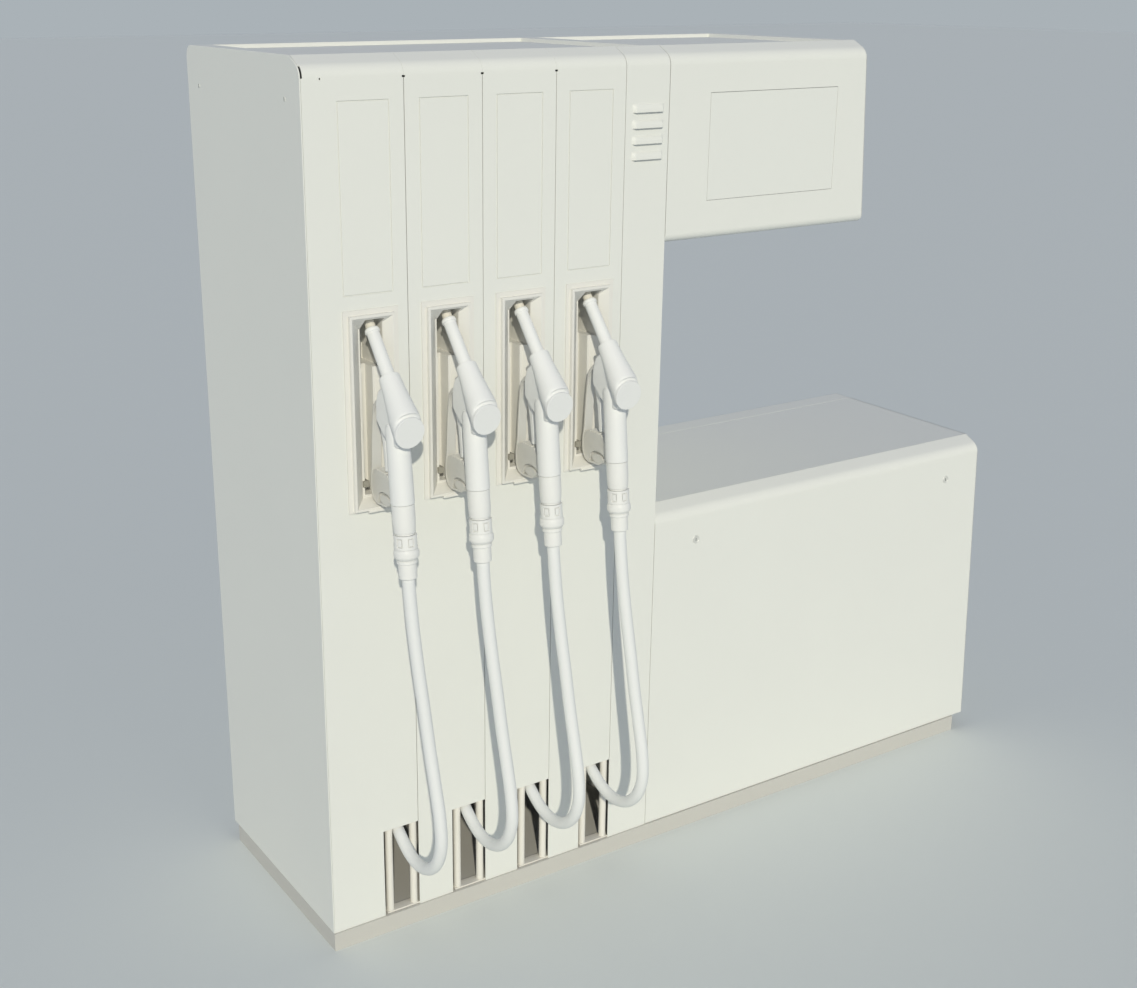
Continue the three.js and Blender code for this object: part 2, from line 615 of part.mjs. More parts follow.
function buildHead() {
  const left = COLUMN_RIGHT + SHUT_LINE;
  const top = TOTAL_HEIGHT;
  const bottom = HEAD_BOTTOM;
  const innerTop = top - RIM_DEPTH;
  const doorBack = CREST_SETBACK + GAP;
  const hull = prismX(casingOutline(bottom, top, 0), left, HEAD_RIGHT + 5);
  const hollow = prismX(casingOutline(bottom + SKIN, innerTop - SKIN, SKIN), left + SKIN, HEAD_RIGHT + 6);
  const doorRoom = box(left - 5, HEAD_RIGHT + 60, -10, doorBack, bottom - 5, top + 10);
  const roofPan = box(left + SKIN, HEAD_RIGHT + 6, doorBack, DEPTH - RIM_WIDTH, top - ROOF_RECESS, top + 10);
  const endBlock = prismX(casingOutline(bottom, top, 0), HEAD_RIGHT - 200, HEAD_RIGHT + 5);
  const endWall = leaningEnd(endBlock, HEAD_RIGHT, bottom, top, SKIN);
  const rimBlock = box(HEAD_RIGHT - 200, HEAD_RIGHT + 5, doorBack, DEPTH - RIM_WIDTH, innerTop, top);
  const rimBar = leaningEnd(rimBlock, HEAD_RIGHT, bottom, top, RIM_WIDTH);
  const shell = cut(hull, hollow, roofPan, beyondLean(HEAD_RIGHT, bottom, top, 0));
  const cableHole = rod([left - 5, 420, 1960], [left + SKIN + 5, 420, 1960], 30, 12);
  addPart('head_shell', cut(join(shell, endWall, rimBar), doorRoom, cableHole), 'coat');

  const doorLeft = left + GAP;
  const doorRight = HEAD_RIGHT + 5;
  const radius = 21;
  const outside = [
    [CREST_SETBACK, bottom + GAP],
    ...frontEdge(top, 0, CREST_SETBACK).reverse(),
    [0, bottom + radius],
    [radius * 0.3, bottom + radius * 0.3],
    [radius, bottom + GAP],
  ];
  const inside = [
    [CREST_SETBACK + 5, bottom + GAP + SKIN],
    [CREST_SETBACK + 5, top - RIM_DEPTH],
    [CREST_SETBACK - SKIN, top - RIM_DEPTH],
    ...frontEdge(top, SKIN, CREST_SETBACK - SKIN).reverse(),
    [SKIN, bottom + radius + 1],
    [radius * 0.3 + 2, bottom + radius * 0.3 + 2],
    [radius + 1, bottom + GAP + SKIN],
  ];
  const doorBlock = prismX(outside, doorLeft, doorRight);
  const wrap = cut(doorBlock, prismX(inside, doorLeft - 5, doorRight + 5), beyondLean(HEAD_RIGHT, bottom, top, 0));
  const skin = join(wrap, leaningEnd(doorBlock, HEAD_RIGHT, bottom, top, SKIN));
  const window = [1119, 1550.5, 1817.5, 2085];
  const opening = box(window[0], window[1], -5, 20, window[2], window[3]);
  addPart('head_door', cut(skin, opening), 'coat');

  const clear = SHUT_LINE / 2 + 0.2;
  const pane = box(window[0] + clear, window[1] - clear, 0.4, 5.4, window[2] + clear, window[3] - clear);
  addPart('display_window', pane, 'glass');

  const board = box(1140, 1530, 90, 150, 1800, 2100);
  const feet = [1200, 1470].map((x) => box(x - 10, x + 10, 140, 240, HEAD_BOTTOM + SKIN + GAP, 1830));
  addPart('display_module', join(board, ...feet), 'casting');
}

// ---------------------------------------------------------------- hydraulics cabinet

function buildCabinet() {
  const left = COLUMN_RIGHT + SHUT_LINE;
  const bottom = PLINTH_HEIGHT + GAP;
  const top = CABINET_TOP;
  const right = CABINET_RIGHT;
  const beyond = beyondLean(right, bottom, top, 0);

  const frontBlock = prismX(
    [[0, bottom + 1], [CREST_SETBACK, bottom + 1], ...frontEdge(top, 0, CREST_SETBACK).reverse()], left, right + 5);
  let front = join(
    cut(prismX(frontSkin(bottom + 1, top), left, right + 5), beyond),
    leaningEnd(frontBlock, right, bottom, top, SKIN));
  for (const x of LOCK_X) {
    front = cut(front, rod([x, -5, LOCK_Z], [x, 20, LOCK_Z], LOCK_DIAMETER / 2 + 0.5, 16));
  }
  addPart('cabinet_front', front, 'coat');

  const rimBack = DEPTH - CABINET_RIM_WIDTH;
  const backBlock = prismX(
    [[rimBack, bottom], [DEPTH, bottom], ...backEdge(top, 0).reverse(), [rimBack, top]], left, right + 5);
  const back = join(
    cut(prismX(backSkin(bottom, top, CABINET_RIM_WIDTH), left, right + 5), beyond),
    leaningEnd(backBlock, right, bottom, top, SKIN));
  addPart('cabinet_back', back, 'coat');

  const panRight = right - (top - bottom) * END_LEAN - CABINET_END_RIM;
  const endBlock = box(right - 200, right + 5, CREST_SETBACK + GAP, rimBack - GAP, bottom, top);
  const endPlate = leaningEnd(endBlock, right, bottom, top, SKIN);
  const rimBlock = box(panRight, right + 5, CREST_SETBACK + GAP, rimBack - GAP, top - RIM_DEPTH, top);
  addPart('cabinet_end', join(endPlate, cut(rimBlock, beyond)), 'coat');

  const pan = box(left, panRight - GAP, CREST_SETBACK + GAP, rimBack - SHUT_LINE, top - RIM_DEPTH + GAP, top);
  addPart('cabinet_roof', pan, 'coat');

  LOCK_X.forEach((x, i) => {
    const side = i === 0 ? 'left' : 'right';
    const barrel = rod([x, -1.2, LOCK_Z], [x, 22, LOCK_Z], LOCK_DIAMETER / 2, 16);
    const cam = box(x - 7, x + 7, 16, 20, LOCK_Z - 7, LOCK_Z + 34);
    const keyway = box(x - 1.5, x + 1.5, -5, 4, LOCK_Z - 6, LOCK_Z + 6);
    addPart(`lock_${side}`, cut(join(barrel, cam), keyway), 'zinc');
  });
}

function buildHydraulics() {
  const floor = PLINTH_HEIGHT + GAP;
  const motorFront = DRIVE_Y + 40;
  const motorBody = rod([MOTOR_X, motorFront, DRIVE_Z], [MOTOR_X, motorFront + 270, DRIVE_Z], 90, 16);
  const motorShaft = rod([MOTOR_X, DRIVE_Y - 16, DRIVE_Z], [MOTOR_X, motorFront + 10, DRIVE_Z], 12, 10);
  const motorFoot = box(MOTOR_X - 80, MOTOR_X + 80, motorFront + 30, motorFront + 230, floor, DRIVE_Z - 70);
  const terminalBox = box(MOTOR_X - 45, MOTOR_X + 45, motorFront + 80, motorFront + 180, DRIVE_Z + 80, DRIVE_Z + 135);
  addPart('motor', join(motorBody, motorShaft, motorFoot, terminalBox), 'casting');

  const pumpFront = DRIVE_Y + 40;
  const pumpBody = box(PUMP_X - 120, PUMP_X + 120, pumpFront, 480, 160, 420);
  const separator = rod([PUMP_X - 40, 400, 400], [PUMP_X - 40, 400, 620], 70, 14);
  const shaft = rod([PUMP_X, DRIVE_Y - 16, DRIVE_Z], [PUMP_X, pumpFront + 10, DRIVE_Z], 12, 10);
  const suction = rod([PUMP_X, 330, 6], [PUMP_X, 330, 200], 40, 14);
  const footLeft = box(PUMP_X - 110, PUMP_X - 80, 220, 460, floor, 170);
  const footRight = box(PUMP_X + 80, PUMP_X + 110, 220, 460, floor, 170);
  const delivery = rod([1330.3, 400, 560], [PUMP_X - 60, 400, 560], 24, 12);
  addPart('pump_unit', join(pumpBody, separator, shaft, suction, footLeft, footRight, delivery), 'casting');

  const meterCase = box(1150, 1330, 310, 500, 330, 610);
  const meterHead = rod([1240, 405, 600], [1240, 405, 690], 60, 14);
  const meterLegs = [1165, 1300].map((x) => box(x, x + 15, 330, 480, floor, 340));
  addPart('meter_block', join(meterCase, meterHead, ...meterLegs), 'casting');

  const drives = [
    ['motor_pulley', MOTOR_X, MOTOR_PULLEY_RADIUS],
    ['pump_pulley', PUMP_X, PUMP_PULLEY_RADIUS],
  ];
  const half = BELT_WIDTH / 2;
  const bore = 12.6;
  for (const [name, x, radius] of drives) {
    const flange = radius + BELT_THICKNESS + 3;
    const profile = [
      [-half - 5, bore], [-half - 5, flange], [-half - 2, flange], [-half - 1, radius],
      [half + 1, radius], [half + 2, flange], [half + 5, flange], [half + 5, bore],
    ];
    addPart(name, turnedRing([x, DRIVE_Y, DRIVE_Z], [0, -1, 0], profile, 16), 'zinc');
  }

  const running = 1.2;
  const spread = PUMP_X - MOTOR_X;
  const wrap = Math.acos((MOTOR_PULLEY_RADIUS - PUMP_PULLEY_RADIUS) / spread);
  const loop = (extra) => {
    const points = [];
    const steps = 8;
    for (let i = 0; i <= steps; i += 1) {
      const angle = wrap + ((2 * Math.PI - 2 * wrap) * i) / steps;
      const radius = MOTOR_PULLEY_RADIUS + running + extra;
      points.push([MOTOR_X + radius * Math.cos(angle), DRIVE_Z + radius * Math.sin(angle)]);
    }
    for (let i = 0; i <= steps + 2; i += 1) {
      const angle = -wrap + (2 * wrap * i) / (steps + 2);
      const radius = PUMP_PULLEY_RADIUS + running * 2 + extra;
      points.push([PUMP_X + radius * Math.cos(angle), DRIVE_Z + radius * Math.sin(angle)]);
    }
    return points;
  };
  const band = prismY(loop(BELT_THICKNESS - 1), DRIVE_Y - half, DRIVE_Y + half);
  const inside = prismY(loop(0.8), DRIVE_Y - half - 5, DRIVE_Y + half + 5);
  addPart('drive_belt', cut(band, inside), 'belt');
}

// ---------------------------------------------------------------- assembly

buildPlinth();
buildColumnCasing();
buildVentPanel();
for (let i = 0; i < HOSES; i += 1) {
  buildHosePanel(i);
  buildNozzleBoot(i);
  buildNozzleBody(i);
  buildNozzleSpout(i);
  buildNozzleTrigger(i);
  buildNozzleSwivel(i);
  buildHose(i);
  buildHoseGuide(i);
  buildHosePulley(i);
}
buildPulleyAxle();
buildOutletManifold();
buildHead();
buildCabinet();
buildHydraulics();

const extent = new THREE.Box3();
for (const mesh of dispenser.children) {
  if (!cordNames.has(mesh.name)) extent.expandByObject(mesh);
}
const group = new THREE.Group();
dispenser.position.set(-(extent.min.x + extent.max.x) / 2, -(extent.min.y + extent.max.y) / 2, -extent.min.z);
group.add(dispenser);

export default group;
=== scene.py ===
"""Fuel dispenser with four hose positions, an electronics head and a hydraulics cabinet.

The visual model is built in shop millimetres: x runs right from the column's left face, y runs
back from the flush front plane and z runs up from the floor. Every mesh is turned into frame
metres when it is finished.
"""

from __future__ import annotations

import logging
import math
from collections.abc import Callable, Sequence
from dataclasses import dataclass, field
from enum import Enum

import bmesh
import bpy
from mathutils import Matrix, Vector

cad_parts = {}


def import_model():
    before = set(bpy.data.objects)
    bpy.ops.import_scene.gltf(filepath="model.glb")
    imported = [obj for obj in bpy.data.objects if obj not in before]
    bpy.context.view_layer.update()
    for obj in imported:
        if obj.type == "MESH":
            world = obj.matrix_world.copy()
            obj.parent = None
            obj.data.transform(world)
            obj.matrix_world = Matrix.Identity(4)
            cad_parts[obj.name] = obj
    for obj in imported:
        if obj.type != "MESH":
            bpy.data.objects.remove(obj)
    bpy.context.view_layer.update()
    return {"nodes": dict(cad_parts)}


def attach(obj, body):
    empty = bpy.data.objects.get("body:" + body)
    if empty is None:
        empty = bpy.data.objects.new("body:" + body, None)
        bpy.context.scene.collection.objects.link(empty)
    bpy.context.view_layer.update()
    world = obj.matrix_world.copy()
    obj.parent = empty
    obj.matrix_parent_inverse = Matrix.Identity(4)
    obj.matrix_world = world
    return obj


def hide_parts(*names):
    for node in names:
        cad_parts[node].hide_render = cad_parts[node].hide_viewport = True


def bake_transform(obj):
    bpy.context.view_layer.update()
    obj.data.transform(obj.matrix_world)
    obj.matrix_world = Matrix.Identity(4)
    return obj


log = logging.getLogger("dispenser")

Point2 = tuple[float, float]
Point3 = tuple[float, float, float]

# ------------------------------------------------------------------ driving dimensions (mm)

ORIGIN_X = 1150.0
ORIGIN_Y = 239.6034

TOTAL_HEIGHT = 2200.0
CABINET_TOP = 1007.0
HEAD_BOTTOM = 1720.0
DEPTH = 646.0
PLINTH_HEIGHT = 49.0

HOSES = 4
SIDE_CAP_WIDTH = 47.5
MODULE_WIDTH = 202.0
VENT_LEFT = SIDE_CAP_WIDTH + HOSES * MODULE_WIDTH
COLUMN_RIGHT = VENT_LEFT + 132.0
HEAD_RIGHT = 1672.0
CABINET_RIGHT = 2300.0
END_LEAN = 0.058
HEAD_FOOT_RADIUS = 21.0
CAP_SCREWS_Y = (77.5, 571.7)
CAP_SCREWS_Z = 2107.0

SKIN = 3.0
GAP = 0.3
SHUT_LINE = 1.6
CREST_SETBACK = 49.0
EDGE_RADIUS = 34.0
FACET_ANGLE = math.radians(28.0)
BACK_RADIUS = 29.0
RIM_WIDTH = 48.0
RIM_DEPTH = 13.0
ROOF_RECESS = 9.7
CABINET_RIM_WIDTH = 90.0
CABINET_END_RIM = 22.0

NOZZLE_OFFSET = 12.0
BOOT_OFFSET = 3.0
HOSE_DIAMETER = 31.0
HOSE_BOX_OFFSET = 51.0
SLOT_TOP = 297.0
ROLLER_DIAMETER = 20.0
ROLLER_SPREAD = 70.0
ROLLER_DEPTH = 14.0

SHEAVE_Y = 280.0
SHEAVE_Z = 1800.0
SHEAVE_LINE_RADIUS = 130.0
MANIFOLD_Y = SHEAVE_Y + SHEAVE_LINE_RADIUS
MANIFOLD_Z = 420.0

LOCK_Z = 893.5
LOCK_X = (1132.5, 2113.5)
LOCK_DIAMETER = 24.0

DRIVE_Y = 150.0
DRIVE_Z = 300.0
MOTOR_X = 1560.0
PUMP_X = 1900.0
MOTOR_PULLEY_RADIUS = 45.0
PUMP_PULLEY_RADIUS = 90.0
BELT_THICKNESS = 8.0
BELT_WIDTH = 22.0

SPOUT_BASE = (-67.0, 1501.0)
SPOUT_DIRECTION = (0.0, 0.645, 0.764)
CAP_CENTRE = (-156.0, 1393.0)
CAP_TILT = math.radians(8.0)
HANDLE_TOP = (-99.0, 1400.0)
HANDLE_FOOT = (-119.6, 1213.0)
LEVER_PIVOT = (-38.0, 1402.0)

HOSE_ROUTE = (
    (12, -139.1, 1036.3), (12, -144.5, 990), (14, -153, 915), (18, -167, 815), (23, -183, 715),
    (28, -199, 610), (32, -216, 520), (34, -232, 440), (35, -235, 370), (36, -214, 312),
    (38, -170, 268), (41, -112, 246), (45, -58, 247), (50, -2, 266), (51, 44, 305),
    (51, 72, 372), (51, 83, 460), (51, 97, 600), (51, 117, 780), (51, 137, 990),
    (51, 148, 1210), (51, 150, 1420), (51, 150, 1620), (51, 150, 1780), (51, 159, 1848),
    (51, 187, 1891), (51, 230, 1920.2), (51, 280, 1930), (51, 330, 1920.2), (51, 373, 1891),
    (51, 401, 1848), (51, 410, 1780), (51, 410, 1500), (51, 410, 1100), (51, 410, 760),
    (51, 410, 500.3),
)


def in_frame(point: Sequence[float]) -> Vector:
    """Turns a point in shop millimetres into the frame's metres.

    Args:
        point: x, y and z in shop millimetres.

    Returns:
        The same point in metres, from the bottom centre of the machine.
    """
    return Vector(((point[0] - ORIGIN_X) / 1000, (point[1] - ORIGIN_Y) / 1000, point[2] / 1000))


def module_centre(index: int) -> float:
    """Middle of a hose module along x, in shop millimetres."""
    return SIDE_CAP_WIDTH + (index + 0.5) * MODULE_WIDTH


# ------------------------------------------------------------------ finishes


class Texture(Enum):
    """Surface character that a finish adds to its plain colour."""

    COAT = "coat"
    MOULDED = "moulded"
    RUBBER = "rubber"
    METAL = "metal"
    CAST = "cast"
    CLEAR = "clear"


@dataclass(frozen=True)
class Grain:
    """How strongly a texture shows: noise scale, colour spread, roughness spread and bump depth."""

    scale: float
    colour: float
    roughness: float
    bump: float


GRAINS = {
    Texture.COAT: Grain(scale=420.0, colour=0.012, roughness=0.05, bump=0.012),
    Texture.MOULDED: Grain(scale=260.0, colour=0.010, roughness=0.06, bump=0.015),
    Texture.RUBBER: Grain(scale=150.0, colour=0.020, roughness=0.08, bump=0.030),
    Texture.METAL: Grain(scale=300.0, colour=0.030, roughness=0.10, bump=0.010),
    Texture.CAST: Grain(scale=130.0, colour=0.060, roughness=0.12, bump=0.080),
    Texture.CLEAR: Grain(scale=60.0, colour=0.004, roughness=0.03, bump=0.0),
}


@dataclass(frozen=True)
class Finish:
    """A procedural surface finish."""

    name: str
    colour: tuple[float, float, float]
    roughness: float
    texture: Texture
    metallic: float = 0.0
    slot: str | None = None

    def material(self) -> bpy.types.Material:
        """Makes the finish's node material, or returns it if it was made before.

        Returns:
            A material whose pattern uses object coordinates only.
        """
        found = bpy.data.materials.get(self.name)
        if found is not None:
            return found
        grain = GRAINS[self.texture]
        made = bpy.data.materials.new(self.name)
        made.use_nodes = True
        nodes, links = made.node_tree.nodes, made.node_tree.links
        nodes.clear()
        output = nodes.new("ShaderNodeOutputMaterial")
        shader = nodes.new("ShaderNodeBsdfPrincipled")
        shader.inputs["Metallic"].default_value = self.metallic
        shader.inputs["IOR"].default_value = 1.45
        place = nodes.new("ShaderNodeTexCoord")
        fine = nodes.new("ShaderNodeTexNoise")
        fine.inputs["Scale"].default_value = grain.scale
        fine.inputs["Detail"].default_value = 3.0
        broad = nodes.new("ShaderNodeTexNoise")
        broad.inputs["Scale"].default_value = 3.5
        broad.inputs["Detail"].default_value = 4.0
        links.new(place.outputs["Object"], fine.inputs["Vector"])
        links.new(place.outputs["Object"], broad.inputs["Vector"])
        tint = nodes.new("ShaderNodeMapRange")
        tint.inputs["To Min"].default_value = 1.0 - grain.colour
        tint.inputs["To Max"].default_value = 1.0 + grain.colour
        links.new(broad.outputs["Fac"], tint.inputs["Value"])
        paint = nodes.new("ShaderNodeMix")
        paint.data_type = "RGBA"
        paint.blend_type = "MULTIPLY"
        paint.inputs["Factor"].default_value = 1.0
        paint.inputs[6].default_value = (*self.colour, 1.0)
        links.new(tint.outputs["Result"], paint.inputs[7])
        links.new(paint.outputs[2], shader.inputs["Base Color"])
        sheen = nodes.new("ShaderNodeMapRange")
        sheen.inputs["To Min"].default_value = max(0.02, self.roughness - grain.roughness)
        sheen.inputs["To Max"].default_value = self.roughness + grain.roughness
        links.new(broad.outputs["Fac"], sheen.inputs["Value"])
        links.new(sheen.outputs["Result"], shader.inputs["Roughness"])
        if grain.bump:
            bump = nodes.new("ShaderNodeBump")
            bump.inputs["Strength"].default_value = grain.bump
            bump.inputs["Distance"].default_value = 0.001
            links.new(fine.outputs["Fac"], bump.inputs["Height"])
            links.new(bump.outputs["Normal"], shader.inputs["Normal"])
        links.new(shader.outputs["BSDF"], output.inputs["Surface"])
        return made


COAT = Finish("coat_white", (0.765, 0.775, 0.735), 0.55, Texture.COAT, slot="powder_coat")
BOOT = Finish("boot_white", (0.765, 0.757, 0.715), 0.55, Texture.MOULDED, slot="boot_plastic")
NOZZLE = Finish("nozzle_white", (0.80, 0.81, 0.80), 0.5, Texture.MOULDED, slot="nozzle_plastic")
# Guard: the nozzle's white plastic darkened to stand for the shade that falls on the strap and foot
# plate, painted shade.
GUARD = Finish("guard_white_painted_shade", (0.63, 0.625, 0.59), 0.5, Texture.MOULDED, slot="nozzle_plastic")
SPOUT = Finish("spout_cream", (0.72, 0.69, 0.61), 0.45, Texture.MOULDED, slot="spout_sleeve")
COUPLING = Finish("coupling_white", (0.79, 0.795, 0.775), 0.5, Texture.MOULDED, slot="coupling_plastic")
HOSE = Finish("hose_pale", (0.765, 0.78, 0.775), 0.6, Texture.RUBBER, slot="hose_rubber")
ROLLER = Finish("roller_cream", (0.78, 0.76, 0.70), 0.45, Texture.MOULDED, slot="roller_plastic")
PULLEY = Finish("pulley_white", (0.70, 0.70, 0.67), 0.45, Texture.MOULDED, slot="pulley_plastic")
ZINC = Finish("zinc_plate", (0.62, 0.63, 0.63), 0.38, Texture.METAL, 0.85, "zinc_steel")
PIPE = Finish("pipe_iron", (0.34, 0.35, 0.35), 0.6, Texture.CAST, 0.4, "pipe_iron")
PANE = Finish("display_pane", (0.745, 0.765, 0.725), 0.5, Texture.CLEAR, slot="display_pane")
MODULE = Finish("module_case", (0.30, 0.31, 0.32), 0.55, Texture.MOULDED, slot="module_case")
LOCK = Finish("lock_metal", (0.765, 0.775, 0.74), 0.5, Texture.COAT, slot="lock_metal")
MOTOR = Finish("motor_paint", (0.30, 0.36, 0.40), 0.5, Texture.CAST, slot="motor_paint")
BELT = Finish("belt_rubber", (0.03, 0.03, 0.032), 0.75, Texture.RUBBER, slot="belt_rubber")
METER = Finish("meter_aluminium", (0.55, 0.56, 0.56), 0.5, Texture.CAST, 0.7, "meter_aluminium")
# Plinth: the casing coat darkened to stand for the soft shade along the base, painted shade.
PLINTH = Finish("plinth_coat_painted_shade", (0.555, 0.545, 0.51), 0.6, Texture.COAT, slot="powder_coat")
SWITCH = Finish("switch_grey", (0.30, 0.29, 0.25), 0.6, Texture.MOULDED)
# Near-black finish for screw slots and the keyway: painted shade standing for the dark inside narrow
# slots.
RECESS = Finish("recess_painted_shade", (0.05, 0.052, 0.055), 0.7, Texture.MOULDED)


# ------------------------------------------------------------------ outlines


def rounded(points: Sequence[Point2], radius: float, steps: int = 4) -> list[Point2]:
    """Rounds every corner of a closed outline.

    Args:
        points: The outline's corners in order.
        radius: Rounding radius, made smaller where a side is short.
        steps: Segments in each rounded corner.

    Returns:
        The outline with an arc at every corner.
    """
    made: list[Point2] = []
    count = len(points)
    for i, corner in enumerate(points):
        here = Vector(corner)
        back = Vector(points[i - 1]) - here
        ahead = Vector(points[(i + 1) % count]) - here
        half = back.angle(ahead) / 2
        reach = min(radius / math.tan(half), 0.45 * back.length, 0.45 * ahead.length)
        if math.pi - 2 * half < 0.05:
            made.append(tuple(corner))
            continue
        start = here + back.normalized() * reach
        end = here + ahead.normalized() * reach
        for k in range(steps + 1):
            t = k / steps
            spot = start * (1 - t) ** 2 + here * (2 * t * (1 - t)) + end * t**2
            made.append((spot.x, spot.y))
    return made


def arc(centre: Point2, radius: float, start: float, end: float, steps: int) -> list[Point2]:
    """Points on an arc, with both ends, angles in radians."""
    sweep = end - start
    return [
        (centre[0] + radius * math.cos(start + sweep * i / steps),
         centre[1] + radius * math.sin(start + sweep * i / steps))
        for i in range(steps + 1)
    ]


FILLET_SWEEP = math.pi / 2 - FACET_ANGLE
FILLET_RISE = EDGE_RADIUS * math.sin(FILLET_SWEEP)
FILLET_RUN = EDGE_RADIUS * (1 - math.cos(FILLET_SWEEP))
EDGE_HEIGHT = FILLET_RISE + (CREST_SETBACK - FILLET_RUN) * math.tan(FACET_ANGLE)
EDGE_STEPS = 14


def front_edge(top: float, inset: float, last_y: float) -> list[Point2]:
    """Front edge of a casing from its flush face round the fillet to the crest.

    Args:
        top: Height of the crest.
        inset: Distance inside the outer surface.
        last_y: Depth at which the sloping facet stops.

    Returns:
        Points of y and z.
    """
    centre = (EDGE_RADIUS, top - EDGE_HEIGHT)
    points = arc(centre, EDGE_RADIUS - inset, math.pi, math.pi - FILLET_SWEEP, EDGE_STEPS)
    drop = inset / math.cos(FACET_ANGLE) + (CREST_SETBACK - last_y) * math.tan(FACET_ANGLE)
    points.append((last_y, top - drop))
    return points


def back_edge(top: float, inset: float) -> list[Point2]:
    """Back edge of a casing from its flat rim round to the vertical back, as y and z."""
    centre = (DEPTH - BACK_RADIUS, top - BACK_RADIUS)
    return arc(centre, BACK_RADIUS - inset, math.pi / 2, 0.0, 8)


def casing_outline(bottom: float, top: float, inset: float) -> list[Point2]:
    """Whole side outline of a casing, as y and z."""
    return [
        (inset, bottom),
        (DEPTH - inset, bottom),
        *reversed(back_edge(top, inset)),
        *reversed(front_edge(top, inset, CREST_SETBACK)),
    ]


# ------------------------------------------------------------------ mesh building


@dataclass
class Shape:
    """Mesh under construction, in shop millimetres."""

    mesh: bmesh.types.BMesh = field(default_factory=bmesh.new)

    def loft(
        self,
        rings: Sequence[Sequence[Point3]],
        bevel: float = 0.0,
        segments: int = 3,
        closed: bool = False,
        keep: Callable[[Vector, Vector], bool] | None = None,
        sharp: float = 35.0,
    ) -> list[bmesh.types.BMVert]:
        """Skins rings of equal length.

        Args:
            rings: Rings of points in order.
            bevel: Width of the bevel on the sharp edges, or 0 for none.
            segments: Segments in the bevel.
            closed: Joins the last ring to the first, with no caps.
            keep: Chooses the edges to bevel by their two end points.
            sharp: Angle in degrees above which an edge counts as sharp.

        Returns:
            The new vertices.
        """
        verts = [[self.mesh.verts.new(p) for p in ring] for ring in rings]
        count = len(verts[0])
        faces = []
        pairs = list(zip(verts, verts[1:]))
        if closed:
            pairs.append((verts[-1], verts[0]))
        for low, high in pairs:
            for i in range(count):
                j = (i + 1) % count
                faces.append(self.mesh.faces.new((low[i], low[j], high[j], high[i])))
        if not closed:
            faces.append(self.mesh.faces.new(tuple(reversed(verts[0]))))
            faces.append(self.mesh.faces.new(tuple(verts[-1])))
        self.soften(faces, bevel, segments, keep, sharp)
        return [v for ring in verts for v in ring if v.is_valid]

    def soften(
        self,
        faces: list[bmesh.types.BMFace],
        bevel: float,
        segments: int = 3,
        keep: Callable[[Vector, Vector], bool] | None = None,
        sharp: float = 35.0,
    ) -> None:
        """Recalculates the faces' normals and bevels their sharp edges."""
        bmesh.ops.recalc_face_normals(self.mesh, faces=faces)
        if bevel <= 0:
            return
        limit = math.radians(sharp)
        edges = {e for f in faces for e in f.edges}
        chosen = [
            e for e in edges
            if len(e.link_faces) == 2
            and e.calc_face_angle(0.0) > limit
            and (keep is None or keep(e.verts[0].co, e.verts[1].co))
        ]
        if chosen:
            bmesh.ops.bevel(
                self.mesh, geom=chosen, offset=bevel, offset_type="OFFSET", segments=segments,
                profile=0.5, affect="EDGES", clamp_overlap=True, material=-1,
            )

    def box(
        self, x: Point2, y: Point2, z: Point2, bevel: float = 1.0, segments: int = 2,
    ) -> None:
        """A box between two limits on each axis."""
        self.taper((*x, *z), y[0], (*x, *z), y[1], bevel, segments)

    def taper(
        self,
        front: tuple[float, float, float, float],
        y_front: float,
        back: tuple[float, float, float, float],
        y_back: float,
        bevel: float = 1.0,
        segments: int = 2,
    ) -> None:
        """The body between two rectangles of x0, x1, z0, z1 at two depths."""
        self.loft([rectangle(front, y_front), rectangle(back, y_back)], bevel, segments)

    def prism_x(
        self,
        outline: Sequence[Point2],
        x: Point2,
        bevel: float = 0.8,
        segments: int = 2,
        lean: tuple[float, float] | None = None,
        keep: Callable[[Vector, Vector], bool] | None = None,
    ) -> None:
        """Carries an outline of y and z along x.

        Args:
            outline: Corners of the outline.
            x: Start and end along x.
            bevel: Bevel width on the sharp edges.
            segments: Segments in the bevel.
            lean: Slope and foot height of an end that leans in towards the top.
            keep: Chooses the edges to bevel.
        """
        rings = []
        for across in x:
            rings.append([
                (across - (lean[0] * (z - lean[1]) if lean else 0.0), y, z) for y, z in outline
            ])
        self.loft(rings, bevel, segments, keep=keep)

    def prism_y(
        self, outline: Sequence[Point2], y: Point2, bevel: float = 0.8, segments: int = 2,
    ) -> None:
        """Carries an outline of x and z along y."""
        self.loft([[(px, depth, pz) for px, pz in outline] for depth in y], bevel, segments)

    def turned(
        self,
        start: Point3,
        direction: Point3,
        profile: Sequence[Point2],
        sides: int = 48,
        closed: bool = False,
        bevel: float = 0.0,
        oval: float = 1.0,
    ) -> None:
        """A body of revolution.

        Args:
            start: Point on the axis where the profile's distances start.
            direction: Direction of the axis.
            profile: Distance along the axis and radius at each step.
            sides: Segments round the axis.
            closed: Joins the profile's ends, which makes a ring.
            bevel: Bevel width on the sharp edges.
            oval: Stretch of the section away from the x axis.
        """
        axis = Vector(direction).normalized()
        turn = Vector((0, 0, 1)).rotation_difference(axis)
        across = Vector((1, 0, 0))
        if abs(axis.dot(across)) > 0.9:
            across = turn @ Vector((1, 0, 0))
        across = (across - axis * across.dot(axis)).normalized()
        other = axis.cross(across)
        rings = []
        for along, radius in profile:
            middle = Vector(start) + axis * along
            ring = []
            for i in range(sides):
                angle = 2 * math.pi * i / sides
                spot = middle + across * (radius * math.cos(angle))
                spot += other * (radius * oval * math.sin(angle))
                ring.append(tuple(spot))
            rings.append(ring)
        self.loft(rings, bevel, 2, closed=closed)

    def rod(
        self, start: Point3, end: Point3, radius: float, sides: int = 32, bevel: float = 0.6,
    ) -> None:
        """A round bar between two points."""
        along = Vector(end) - Vector(start)
        self.turned(start, tuple(along), [(0, radius), (along.length, radius)], sides, bevel=bevel)

